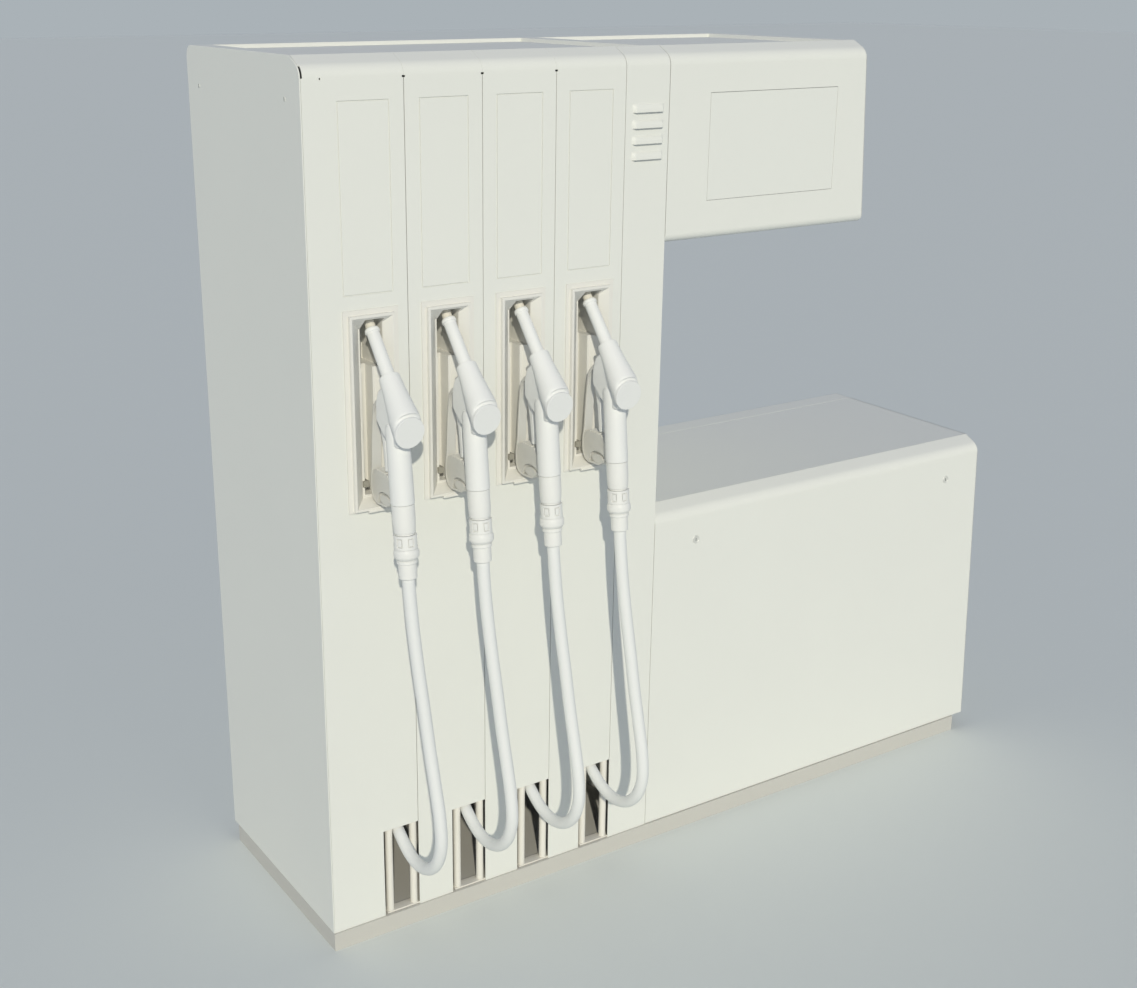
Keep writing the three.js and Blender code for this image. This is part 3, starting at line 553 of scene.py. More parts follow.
    def tube(self, points: Sequence[Vector], radius: float, sides: int = 24) -> None:
        """A round tube along a dense path, with capped ends and no twist."""
        rings = []
        side = Vector((1, 0, 0))
        for i, spot in enumerate(points):
            ahead = points[min(i + 1, len(points) - 1)] - points[max(i - 1, 0)]
            ahead.normalize()
            side = (side - ahead * side.dot(ahead)).normalized()
            other = ahead.cross(side)
            rings.append([
                tuple(spot + (side * math.cos(a) + other * math.sin(a)) * radius)
                for a in (2 * math.pi * k / sides for k in range(sides))
            ])
        self.loft(rings)

    def strap(
        self, outer: Sequence[Point2], inner: Sequence[Point2], x: Point2, bevel: float = 1.5,
    ) -> None:
        """A band between two matching lines of y and z, carried along x."""
        rings = []
        for (oy, oz), (iy, iz) in zip(outer, inner):
            rings.append([(x[0], oy, oz), (x[1], oy, oz), (x[1], iy, iz), (x[0], iy, iz)])
        self.loft(rings, bevel, 3)

    def sheet(
        self,
        outer: Sequence[Point2],
        inner: Sequence[Point2],
        xs: Sequence[float],
        level: Callable[[float, float, float], float | None],
        lean: tuple[float, float] | None = None,
        bevel: float = 0.5,
    ) -> None:
        """A folded skin with openings and grooves.

        Args:
            outer: The skin's outer line of y and z, from one edge to the other.
            inner: Its inner line, point for point.
            xs: Every x at which an opening or a groove starts or stops.
            level: Says for the middle of a cell, as x, y and z, how deep its face lies as a share
                of the skin's thickness, or None where the skin is open.
            lean: Slope and foot height of a right end that leans in towards the top.
            bevel: Bevel width on the sharp edges.
        """
        columns, rows = len(xs) - 1, len(outer) - 1
        made: dict[tuple[int, int, float], bmesh.types.BMVert] = {}

        def vert(i: int, j: int, depth: float) -> bmesh.types.BMVert:
            key = (i, j, round(depth, 4))
            if key not in made:
                y = outer[j][0] + (inner[j][0] - outer[j][0]) * depth
                z = outer[j][1] + (inner[j][1] - outer[j][1]) * depth
                x = xs[i]
                if lean is not None and i == columns:
                    x -= lean[0] * (z - lean[1])
                made[key] = self.mesh.verts.new((x, y, z))
            return made[key]

        def depth_of(i: int, j: int) -> float | None:
            if not (0 <= i < columns and 0 <= j < rows):
                return None
            mid_y = (outer[j][0] + outer[j + 1][0]) / 2
            mid_z = (outer[j][1] + outer[j + 1][1]) / 2
            return level((xs[i] + xs[i + 1]) / 2, mid_y, mid_z)

        faces = []
        for i in range(columns):
            for j in range(rows):
                depth = depth_of(i, j)
                if depth is None:
                    continue
                corners = ((i, j), (i + 1, j), (i + 1, j + 1), (i, j + 1))
                faces.append(self.mesh.faces.new([vert(*c, depth) for c in corners]))
                faces.append(self.mesh.faces.new([vert(*c, 1.0) for c in reversed(corners)]))
                for k, (di, dj) in enumerate(((0, -1), (1, 0), (0, 1), (-1, 0))):
                    beside = depth_of(i + di, j + dj)
                    far = 1.0 if beside is None else beside
                    if far <= depth:
                        continue
                    a, b = corners[k], corners[(k + 1) % 4]
                    faces.append(self.mesh.faces.new(
                        [vert(*b, depth), vert(*a, depth), vert(*a, far), vert(*b, far)]))
        self.soften(faces, bevel, 2, sharp=50.0)

    def finish(
        self,
        name: str,
        finish: Finish,
        body: str = "root",
        replaces: Sequence[str] = (),
        smooth: float = 38.0,
    ) -> bpy.types.Object:
        """Turns the shape into a finished object that rides on a body.

        Args:
            name: Name of the piece.
            finish: Its finish.
            body: CAD body that it rides on, or an empty string for none.
            replaces: CAD nodes that it stands for.
            smooth: Angle in degrees below which neighbouring faces shade as one surface.

        Returns:
            The new object.
        """
        for vertex in self.mesh.verts:
            vertex.co = in_frame(vertex.co)
        bmesh.ops.remove_doubles(self.mesh, verts=self.mesh.verts, dist=1e-6)
        bmesh.ops.recalc_face_normals(self.mesh, faces=self.mesh.faces)
        data = bpy.data.meshes.new(name)
        self.mesh.to_mesh(data)
        self.mesh.free()
        for polygon in data.polygons:
            polygon.use_smooth = True
        data.set_sharp_from_angle(angle=math.radians(smooth))
        data.materials.append(finish.material())
        made = bpy.data.objects.new(name, data)
        bpy.context.scene.collection.objects.link(made)
        weighted = made.modifiers.new("weighted_normals", "WEIGHTED_NORMAL")
        weighted.keep_sharp = True
        weighted.weight = 80
        if replaces:
            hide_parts(*replaces)
        if body:
            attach(made, body)
        return made


def flush(x: float, y: float, z: float) -> float:
    """Depth of a skin with no opening and no groove anywhere."""
    return 0.0


def rectangle(limits: tuple[float, float, float, float], y: float) -> list[Point3]:
    """Corners of a rectangle of x0, x1, z0, z1 at a depth."""
    x0, x1, z0, z1 = limits
    return [(x0, y, z0), (x1, y, z0), (x1, y, z1), (x0, y, z1)]


def front_skin_lines(cuts: Sequence[float], top: float) -> tuple[list[Point2], list[Point2]]:
    """Outer and inner line of a front skin with its rolled top edge and rim return.

    Args:
        cuts: Heights on the flat face where rows start, the lowest first.
        top: Height of the crest.

    Returns:
        The two lines of y and z, point for point.
    """
    lip = CREST_SETBACK - SKIN
    outer = [(0.0, z) for z in cuts] + front_edge(top, 0.0, CREST_SETBACK)
    inner = [(SKIN, z) for z in cuts] + front_edge(top, SKIN, lip)
    crest = 6
    facet_start, facet_end = outer[-2], outer[-1]
    inner_start, inner_end = inner[-2], inner[-1]
    split_outer, split_inner = [], []
    for k in range(1, crest):
        t = k / crest
        split_outer.append(tuple(Vector(facet_start).lerp(Vector(facet_end), t)))
        split_inner.append(tuple(Vector(inner_start).lerp(Vector(inner_end), t)))
    outer[-1:-1] = split_outer
    inner[-1:-1] = split_inner
    outer.append((CREST_SETBACK, top - RIM_DEPTH))
    inner.append((lip, top - RIM_DEPTH))
    return outer, inner


def back_skin_lines(
    bottom: float, top: float, rim_width: float = RIM_WIDTH,
) -> tuple[list[Point2], list[Point2]]:
    """Outer and inner line of a back skin with its flat rim and return."""
    rim = DEPTH - rim_width
    outer = [(DEPTH, bottom), *reversed(back_edge(top, 0.0)), (rim, top), (rim, top - RIM_DEPTH)]
    inner = [
        (DEPTH - SKIN, bottom), *reversed(back_edge(top, SKIN)),
        (rim + SKIN, top - SKIN), (rim + SKIN, top - RIM_DEPTH),
    ]
    return outer, inner


# ------------------------------------------------------------------ casing


@dataclass
class Column:
    """Casing of the tall hose column."""

    def build(self) -> None:
        """Makes every casing piece of the column."""
        self.side_cap()
        self.back()
        self.roof()
        self.vent_panel()

    def side_cap(self) -> None:
        """Left side sheet with its rim and the strip of back skin beside it."""
        shape = Shape()
        bottom = PLINTH_HEIGHT + GAP
        outline = casing_outline(bottom, TOTAL_HEIGHT, 0.0)
        shape.prism_x(outline, (0.0, SKIN), bevel=1.3, segments=3)
        outer, inner = back_skin_lines(bottom, TOTAL_HEIGHT)
        shape.sheet(outer, inner, (SKIN - 0.5, SIDE_CAP_WIDTH - SHUT_LINE / 2), flush)
        shape.box(
            (SKIN - 0.5, SIDE_CAP_WIDTH - SHUT_LINE / 2),
            (CREST_SETBACK + GAP, DEPTH - RIM_WIDTH + 1), (TOTAL_HEIGHT - RIM_DEPTH, TOTAL_HEIGHT), 0.6)
        for y in CAP_SCREWS_Y:
            shape.turned((0.2, y, CAP_SCREWS_Z), (-1, 0, 0), [(0, 4.6), (0.9, 4.6), (1.6, 3.6)], 24)
        shape.finish("side_sheet_left", COAT, replaces=["column_side_left"])
        # Dark slivers on the screw heads: painted shade for their slots.
        marks = Shape()
        for y in CAP_SCREWS_Y:
            across = (y - 0.8, y + 0.8)
            marks.box((-1.8, -1.2), across, (CAP_SCREWS_Z - 4.4, CAP_SCREWS_Z + 4.4), 0.1)
        marks.finish("side_screw_slots", RECESS)

    def back(self) -> None:
        """Back skin of the column."""
        shape = Shape()
        outer, inner = back_skin_lines(PLINTH_HEIGHT + GAP, TOTAL_HEIGHT)
        left = SIDE_CAP_WIDTH + SHUT_LINE / 2
        shape.sheet(outer, inner, (left, COLUMN_RIGHT), flush)
        shape.finish("back_skin_column", COAT, replaces=["column_back"])

    def roof(self) -> None:
        """Recessed roof pan with the raised rim at its right end."""
        shape = Shape()
        left = SIDE_CAP_WIDTH + SHUT_LINE / 2
        y = (CREST_SETBACK + GAP, DEPTH - RIM_WIDTH - GAP)
        base = TOTAL_HEIGHT - RIM_DEPTH + GAP
        shape.box((left, COLUMN_RIGHT), y, (base, TOTAL_HEIGHT - ROOF_RECESS), 0.5)
        shape.box((COLUMN_RIGHT - RIM_WIDTH, COLUMN_RIGHT), y, (base, TOTAL_HEIGHT), 1.0)
        shape.finish("roof_pan_column", COAT, replaces=["column_roof"])

    def vent_panel(self) -> None:
        """Narrow front skin with four louvre hoods."""
        shape = Shape()
        left = VENT_LEFT + SHUT_LINE / 2
        middle = VENT_LEFT + 68.0
        half = 47.0
        lowest, pitch = 1933.0, 37.7
        cuts = [PLINTH_HEIGHT + GAP]
        for i in range(4):
            cuts += [lowest + i * pitch - 0.5, lowest + i * pitch + 13.0]
        cuts.append(TOTAL_HEIGHT - EDGE_HEIGHT - 6.0)

        def level(x: float, y: float, z: float) -> float | None:
            for i in range(4):
                base = lowest + i * pitch
                if abs(x - middle) < half - 3 and base - 0.5 < z < base + 13:
                    return None
            return 0.0

        outer, inner = front_skin_lines(cuts, TOTAL_HEIGHT)
        shape.sheet(outer, inner, (left, middle - half + 3, middle + half - 3, COLUMN_RIGHT), level)
        for i in range(4):
            z = lowest + i * pitch
            self.louvre(shape, (middle - half, middle + half), z)
        shape.finish("vent_panel_skin", COAT, replaces=["vent_panel"])

    def louvre(self, shape: Shape, x: Point2, z: float) -> None:
        """One hood pressed out of the skin, open underneath."""
        outline = [(0.6, 20.0), (-1.2, 19.0), (-4.6, 15.5), (-7.2, 10.5), (-8.0, 5.0), (-8.0, 0.0)]
        thickness = 1.4
        rings = []
        steps = 14
        for k in range(steps + 1):
            t = k / steps
            x_here = x[0] + (x[1] - x[0]) * t
            edge = min(x_here - x[0], x[1] - x_here)
            swell = 1.0 if edge > 9.0 else math.sqrt(max(0.0, 1 - (1 - edge / 9.0) ** 2))
            outer = [(min(0.8, y * swell), z + dz) for y, dz in outline]
            inner = [(min(1.2, y * swell + thickness), z + dz * 0.9) for y, dz in reversed(outline)]
            rings.append([(x_here, py, pz) for py, pz in outer + inner])
        shape.loft(rings)


@dataclass
class Head:
    """Electronics head: shell, hinged door and display."""

    body: str = "head_door_leaf"

    def build(self) -> None:
        """Makes the shell, the door, the pane and the display module."""
        self.shell()
        self.door()
        self.electronics()

    def shell(self) -> None:
        """Fixed part of the head behind the door."""
        shape = Shape()
        left = COLUMN_RIGHT + SHUT_LINE
        front = CREST_SETBACK + GAP
        lean = (END_LEAN, HEAD_BOTTOM)
        rim = DEPTH - RIM_WIDTH
        radius = HEAD_FOOT_RADIUS
        outline = [
            (front, HEAD_BOTTOM), (DEPTH - radius, HEAD_BOTTOM),
            *arc((DEPTH - radius, HEAD_BOTTOM + radius), radius, -math.pi / 2, 0.0, 6),
            *reversed(back_edge(TOTAL_HEIGHT, 0.0)), (front, TOTAL_HEIGHT),
        ]
        shape.prism_x(outline, (left, left + SKIN), bevel=0.6)
        shape.prism_x(outline, (HEAD_RIGHT - SKIN, HEAD_RIGHT), bevel=1.3, segments=3, lean=lean)
        outer, inner = back_skin_lines(HEAD_BOTTOM, TOTAL_HEIGHT)
        xs = (left + 1, HEAD_RIGHT - 1)
        shape.sheet(outer[1:], inner[1:], xs, flush, lean=lean)
        floor_outer = [
            (front, HEAD_BOTTOM), (DEPTH - radius, HEAD_BOTTOM),
            *arc((DEPTH - radius, HEAD_BOTTOM + radius), radius, -math.pi / 2, 0.0, 6), outer[1],
        ]
        floor_inner = [
            (front, HEAD_BOTTOM + SKIN), (DEPTH - radius, HEAD_BOTTOM + SKIN),
            *arc((DEPTH - radius, HEAD_BOTTOM + radius), radius - SKIN, -math.pi / 2, 0.0, 6), inner[1],
        ]
        shape.sheet(floor_outer, floor_inner, xs, flush, lean=lean)
        top = TOTAL_HEIGHT
        shape.box((left, HEAD_RIGHT - 60), (front, rim + 1), (top - RIM_DEPTH, top - ROOF_RECESS), 0.5)
        end = HEAD_RIGHT - (top - HEAD_BOTTOM) * END_LEAN
        shape.box((end - RIM_WIDTH, end - 1), (front, rim + 1), (top - RIM_DEPTH, top), 1.0)
        shape.finish("head_casing", COAT, replaces=["head_shell"])

    def door(self) -> None:
        """Wrapped door skin with the window opening and its pane."""
        shape = Shape()
        left = COLUMN_RIGHT + SHUT_LINE + GAP
        window = (1119.0, 1550.5, 1817.5, 2085.0)
        radius = HEAD_FOOT_RADIUS
        bottom = HEAD_BOTTOM + GAP
        curve = arc((radius, bottom + radius), radius, -math.pi / 2, -math.pi, 8)
        inside = arc((radius, bottom + radius), radius - SKIN, -math.pi / 2, -math.pi, 8)
        outer, inner = front_skin_lines([window[2], window[3]], TOTAL_HEIGHT)
        outer = [(CREST_SETBACK, bottom), *curve, *outer]
        inner = [(CREST_SETBACK, bottom + SKIN), *inside, *inner]

        def level(x: float, y: float, z: float) -> float | None:
            if window[0] < x < window[1] and window[2] < z < window[3] and y < 1:
                return None
            return 0.0

        lean = (END_LEAN, HEAD_BOTTOM)
        shape.sheet(outer, inner, (left, window[0], window[1], HEAD_RIGHT), level, lean=lean, bevel=0.7)
        outline = [
            (CREST_SETBACK, bottom), *curve, *front_edge(TOTAL_HEIGHT, 0.0, CREST_SETBACK),
        ]
        shape.prism_x(outline, (HEAD_RIGHT - SKIN, HEAD_RIGHT), bevel=1.2, segments=3, lean=lean)
        shape.finish("head_door_skin", COAT, self.body, ["head_door"])
        pane = Shape()
        clear = SHUT_LINE / 2 + 0.1
        pane.box(
            (window[0] + clear, window[1] - clear), (0.3, 5.3),
            (window[2] + clear, window[3] - clear), 0.5)
        pane.finish("display_pane_sheet", PANE, self.body, ["display_window"])

    def electronics(self) -> None:
        """Display module behind the pane."""
        shape = Shape()
        shape.box((1140.0, 1530.0), (90.0, 150.0), (1800.0, 2100.0), 4.0)
        shape.box((1160.0, 1510.0), (86.0, 92.0), (1830.0, 2070.0), 2.0)
        for x in (1200.0, 1470.0):
            shape.box((x - 10, x + 10), (140.0, 240.0), (HEAD_BOTTOM + SKIN + GAP, 1830.0), 1.5)
        shape.finish("display_module_case", MODULE, replaces=["display_module"])


@dataclass
class Cabinet:
    """Low hydraulics cabinet with its tilting front panel and two locks."""

    body: str = "cabinet_front_panel"

    def build(self) -> None:
        """Makes the cabinet's skins, roof and locks."""
        self.front()
        self.rear()
        for x, side in zip(LOCK_X, ("left", "right")):
            self.lock(x, side)

    def front(self) -> None:
        """Front panel that tilts forward for service."""
        shape = Shape()
        left = COLUMN_RIGHT + SHUT_LINE
        bottom = PLINTH_HEIGHT + GAP + 1
        lean = (END_LEAN, PLINTH_HEIGHT + GAP)
        outer, inner = front_skin_lines([bottom], CABINET_TOP)
        shape.sheet(outer, inner, (left, CABINET_RIGHT), flush, lean=lean, bevel=0.7)
        outline = [(0.0, bottom), (CREST_SETBACK, bottom)]
        outline += reversed(front_edge(CABINET_TOP, 0.0, CREST_SETBACK))
        shape.prism_x(outline, (CABINET_RIGHT - SKIN, CABINET_RIGHT), 1.2, 3, lean=lean)
        shape.finish("cabinet_front_skin", COAT, self.body, ["cabinet_front"])

    def rear(self) -> None:
        """Back skin, leaning end and flush roof."""
        left = COLUMN_RIGHT + SHUT_LINE
        bottom = PLINTH_HEIGHT + GAP
        lean = (END_LEAN, bottom)
        rim = DEPTH - CABINET_RIM_WIDTH
        back = Shape()
        outer, inner = back_skin_lines(bottom, CABINET_TOP, CABINET_RIM_WIDTH)
        back.sheet(outer, inner, (left, CABINET_RIGHT), flush, lean=lean, bevel=0.7)
        outline = [
            (rim, bottom), (DEPTH, bottom), *reversed(back_edge(CABINET_TOP, 0.0)), (rim, CABINET_TOP),
        ]
        back.prism_x(outline, (CABINET_RIGHT - SKIN, CABINET_RIGHT), 1.0, 2, lean=lean)
        back.finish("cabinet_back_skin", COAT, replaces=["cabinet_back"])
        end = Shape()
        y = (CREST_SETBACK + GAP, rim - GAP)
        side = [(y[0], bottom), (y[1], bottom), (y[1], CABINET_TOP), (y[0], CABINET_TOP)]
        end.prism_x(side, (CABINET_RIGHT - SKIN, CABINET_RIGHT), 0.5, 2, lean=lean)
        right = CABINET_RIGHT - (CABINET_TOP - bottom) * END_LEAN
        pan_right = right - CABINET_END_RIM
        end.box((pan_right, right - 0.5), y, (CABINET_TOP - RIM_DEPTH, CABINET_TOP), 0.1)
        end.finish("cabinet_end_sheet", COAT, replaces=["cabinet_end"])
        roof = Shape()
        roof.box(
            (left, pan_right - GAP), (y[0], rim - SHUT_LINE),
            (CABINET_TOP - RIM_DEPTH + GAP, CABINET_TOP), 0.1)
        roof.finish("cabinet_roof_pan", COAT, replaces=["cabinet_roof"])

    def lock(self, x: float, side: str) -> None:
        """Round lock in the front panel with a keyway and a cam behind."""
        shape = Shape()
        radius = LOCK_DIAMETER / 2
        profile = [
            (-22.0, radius - 1), (-4.0, radius - 1), (-4.0, radius), (0.4, radius), (1.0, radius - 0.6),
            (1.0, radius - 2.4), (0.2, radius - 3.4), (0.2, 2.0),
        ]
        shape.turned((x, 0.0, LOCK_Z), (0, -1, 0), profile, 48)
        shape.box((x - 7, x + 7), (16.0, 20.0), (LOCK_Z - 7, LOCK_Z + 34), 1.0)
        shape.finish(f"lock_{side}_barrel", LOCK, f"lock_{side}_body", [f"lock_{side}"])
        # Dark sliver on the lock face: painted shade for the keyway.
        keyway = Shape()
        keyway.box((x - 0.9, x + 0.9), (-0.4, 0.4), (LOCK_Z - 4.5, LOCK_Z + 4.5), 0.1)
        keyway.finish(f"lock_{side}_keyway", RECESS, f"lock_{side}_body")


# ------------------------------------------------------------------ hose modules


@dataclass
class HoseModule:
    """One hose position: front skin, boot, nozzle, hose, guide and pulley."""

    index: int

    @property
    def number(self) -> int:
        """Number used in names, from 1."""
        return self.index + 1

    @property
    def centre(self) -> float:
        """Middle of the module along x."""
        return module_centre(self.index)

    def build(self) -> None:
        """Makes every piece of the module."""
        self.panel()
        self.boot()
        nozzle = Nozzle(self.number, self.centre + NOZZLE_OFFSET)
        nozzle.build()
        swivel = nozzle.swivel()
        self.hose(swivel)
        self.guide()
        self.pulley()

    def panel(self) -> None:
        """Front skin with the boot opening, the hose slot and the label groove."""
        centre = self.centre
        base = TOTAL_HEIGHT - EDGE_HEIGHT
        seam = SHUT_LINE / 2
        slit = GAP / 2
        first, last = self.index == 0, self.index == HOSES - 1
        left = SKIN + GAP if first else centre - MODULE_WIDTH / 2 + slit
        right = centre + MODULE_WIDTH / 2 - (seam if last else slit)
        seam_left = centre - MODULE_WIDTH / 2 + seam
        seam_right = centre + MODULE_WIDTH / 2 - seam
        boot = centre + BOOT_OFFSET
        label = (centre - 63.5, centre + 63.5, 1679.5, 2104.5)
        line = 2.2
        relief = 3.2
        cuts = [
            PLINTH_HEIGHT + GAP, SLOT_TOP, 1168.5, 1637.0, label[2], label[2] + line,
            label[3] - line, label[3], base - 4.2,
        ]
        xs = {
            left, right, centre, boot - 62, boot + 62, label[0], label[0] + line, label[1] - line,
            label[1],
        }
        if not first:
            xs |= {seam_left, seam_left + relief}
        if not last:
            xs |= {seam_right, seam_right - relief}
        dot = SIDE_CAP_WIDTH
        if first:
            xs |= {dot - 1.6, dot + 1.6, SKIN + 4.5}

        def level(x: float, y: float, z: float) -> float | None:
            on_flat = z < base
            if on_flat and not first and x < seam_left:
                return None
            if on_flat and not last and x > seam_right:
                return None
            if base - 4.2 < z < base:
                if not first and x < seam_left + relief:
                    return None
                if not last and x > seam_right - relief:
                    return None
                if first and abs(x - dot) < 1.6:
                    return None
            if first and x < SKIN + 4.5 and z > base and y < 0.62 * FILLET_RUN:
                return None
            if z > base and y > CREST_SETBACK - 5.0 and not first and x < seam_left + 1.4 and y < 47:
                return None
            if z < SLOT_TOP and x > centre:
                return None
            if abs(x - boot) < 62 and 1168.5 < z < 1637:
                return None
            inside = label[0] < x < label[1] and label[2] < z < label[3]
            deep = label[0] + line < x < label[1] - line and label[2] + line < z < label[3] - line
            if inside and not deep:
                return 0.8
            return 0.0

        shape = Shape()
        outer, inner = front_skin_lines(cuts, TOTAL_HEIGHT)
        shape.sheet(outer, inner, sorted(xs), level, bevel=0.45)
        shape.finish(f"front_skin_{self.number}", COAT, replaces=[f"hose_panel_{self.number}"])

    def boot(self) -> None:
        """Lift switch in the boot and the lip under its rim; the CAD boot itself is shown."""
        x = self.centre + BOOT_OFFSET
        switch = Shape()
        switch.box((x - 19.4, x - 4.6), (17.5, 40.0), (1217.5, 1232.5), 0.8)
        switch.finish(f"boot_{self.number}_lift_switch", SWITCH)
        lip = Shape()
        lip.box((x - 24.0, x + 42.0), (-15.5, -3.0), (1164.0, 1171.0), 1.6, 3)
        lip.finish(f"boot_{self.number}_lip", BOOT)

    def route(self) -> list[Vector]:
        """Dense centreline of the hose in shop millimetres, from the swivel to the manifold."""
        points = [Vector((self.centre + dx, y, z)) for dx, y, z in HOSE_ROUTE]
        return centripetal(points, 7)

    def hose(self, swivel: bpy.types.Object) -> None:
        """Delivery hose as one fixed tube from the nozzle's swivel to the manifold."""
        path = self.route()
        name = f"delivery_hose_{self.number}"
        shape = Shape()
        shape.tube(path, HOSE_DIAMETER / 2, 28)
        tube = shape.finish(name, HOSE, body="", replaces=[f"hose_{self.number}"])
        tube.modifiers.clear()
        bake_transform(tube)

    def guide(self) -> None:
        """Two upright rollers beside the slot, on a foot plate and a head plate."""
        middle = self.centre + HOSE_BOX_OFFSET + 5.0
        bottom, top = PLINTH_HEIGHT + 1.0, SLOT_TOP + 35.0
        sides = (middle - ROLLER_SPREAD / 2, middle + ROLLER_SPREAD / 2)
        shape = Shape()
        for z in (bottom, top - 4.0):
            shape.box((sides[0] - 12, sides[1] + 12), (SKIN + GAP, 30.0), (z, z + 4.0), 0.6)
        for x in sides:
            radius = ROLLER_DIAMETER / 2
            profile = [
                (0.0, radius - 3), (3.0, radius - 3), (3.0, radius - 1), (4.0, radius),
                (top - bottom - 5.0, radius), (top - bottom - 4.0, radius - 1),
                (top - bottom - 4.0, radius - 3), (top - bottom - 1.0, radius - 3),
            ]
            shape.turned((x, ROLLER_DEPTH, bottom + 0.5), (0, 0, 1), profile, 32)
        shape.finish(f"hose_guide_{self.number}_rollers", ROLLER, replaces=[f"hose_guide_{self.number}"])

    def pulley(self) -> None:
        """Grooved wheel inside the column."""
        x = self.centre + HOSE_BOX_OFFSET
        shape = Shape()
        groove = arc((0.0, SHEAVE_LINE_RADIUS), 16.5, math.radians(215), math.radians(325), 10)
        profile = [
            (-24.0, 13.0), (-24.0, 34.0), (-14.0, 40.0), (-12.0, 96.0), (-20.0, 112.0), (-22.0, 138.0),
            (-18.0, 140.0), *groove, (18.0, 140.0), (22.0, 138.0), (20.0, 112.0), (12.0, 96.0),
            (14.0, 40.0), (24.0, 34.0), (24.0, 13.0),
        ]
        shape.turned((x, SHEAVE_Y, SHEAVE_Z), (1, 0, 0), profile, 64, closed=True)
        shape.finish(
            f"hose_pulley_{self.number}_wheel", PULLEY, f"pulley_{self.number}",
            [f"hose_pulley_{self.number}"])


def centripetal(points: Sequence[Vector], per_span: int) -> list[Vector]:
    """Points along the centripetal Catmull-Rom curve through the given points."""
    ends = [points[0] * 2 - points[1], *points, points[-1] * 2 - points[-2]]
    made = []
    for a, b, c, d in zip(ends, ends[1:], ends[2:], ends[3:]):
        knots = [0.0]
        for p, q in ((a, b), (b, c), (c, d)):
            knots.append(knots[-1] + (q - p).length ** 0.5)
        for k in range(per_span):
            t = knots[1] + (knots[2] - knots[1]) * k / per_span
            made.append(barry_goldman((a, b, c, d), knots, t))
    made.append(points[-1].copy())
    return made


def barry_goldman(corners: Sequence[Vector], knots: Sequence[float], t: float) -> Vector:
    """Value of one Catmull-Rom span at a knot parameter."""
    level = list(corners)
    for depth in (1, 2):
        level = [
            (level[i] * (knots[i + depth] - t) + level[i + 1] * (t - knots[i]))
            / (knots[i + depth] - knots[i])
            for i in range(len(level) - 1)
        ]
    return (level[0] * (knots[2] - t) + level[1] * (t - knots[1])) / (knots[2] - knots[1])


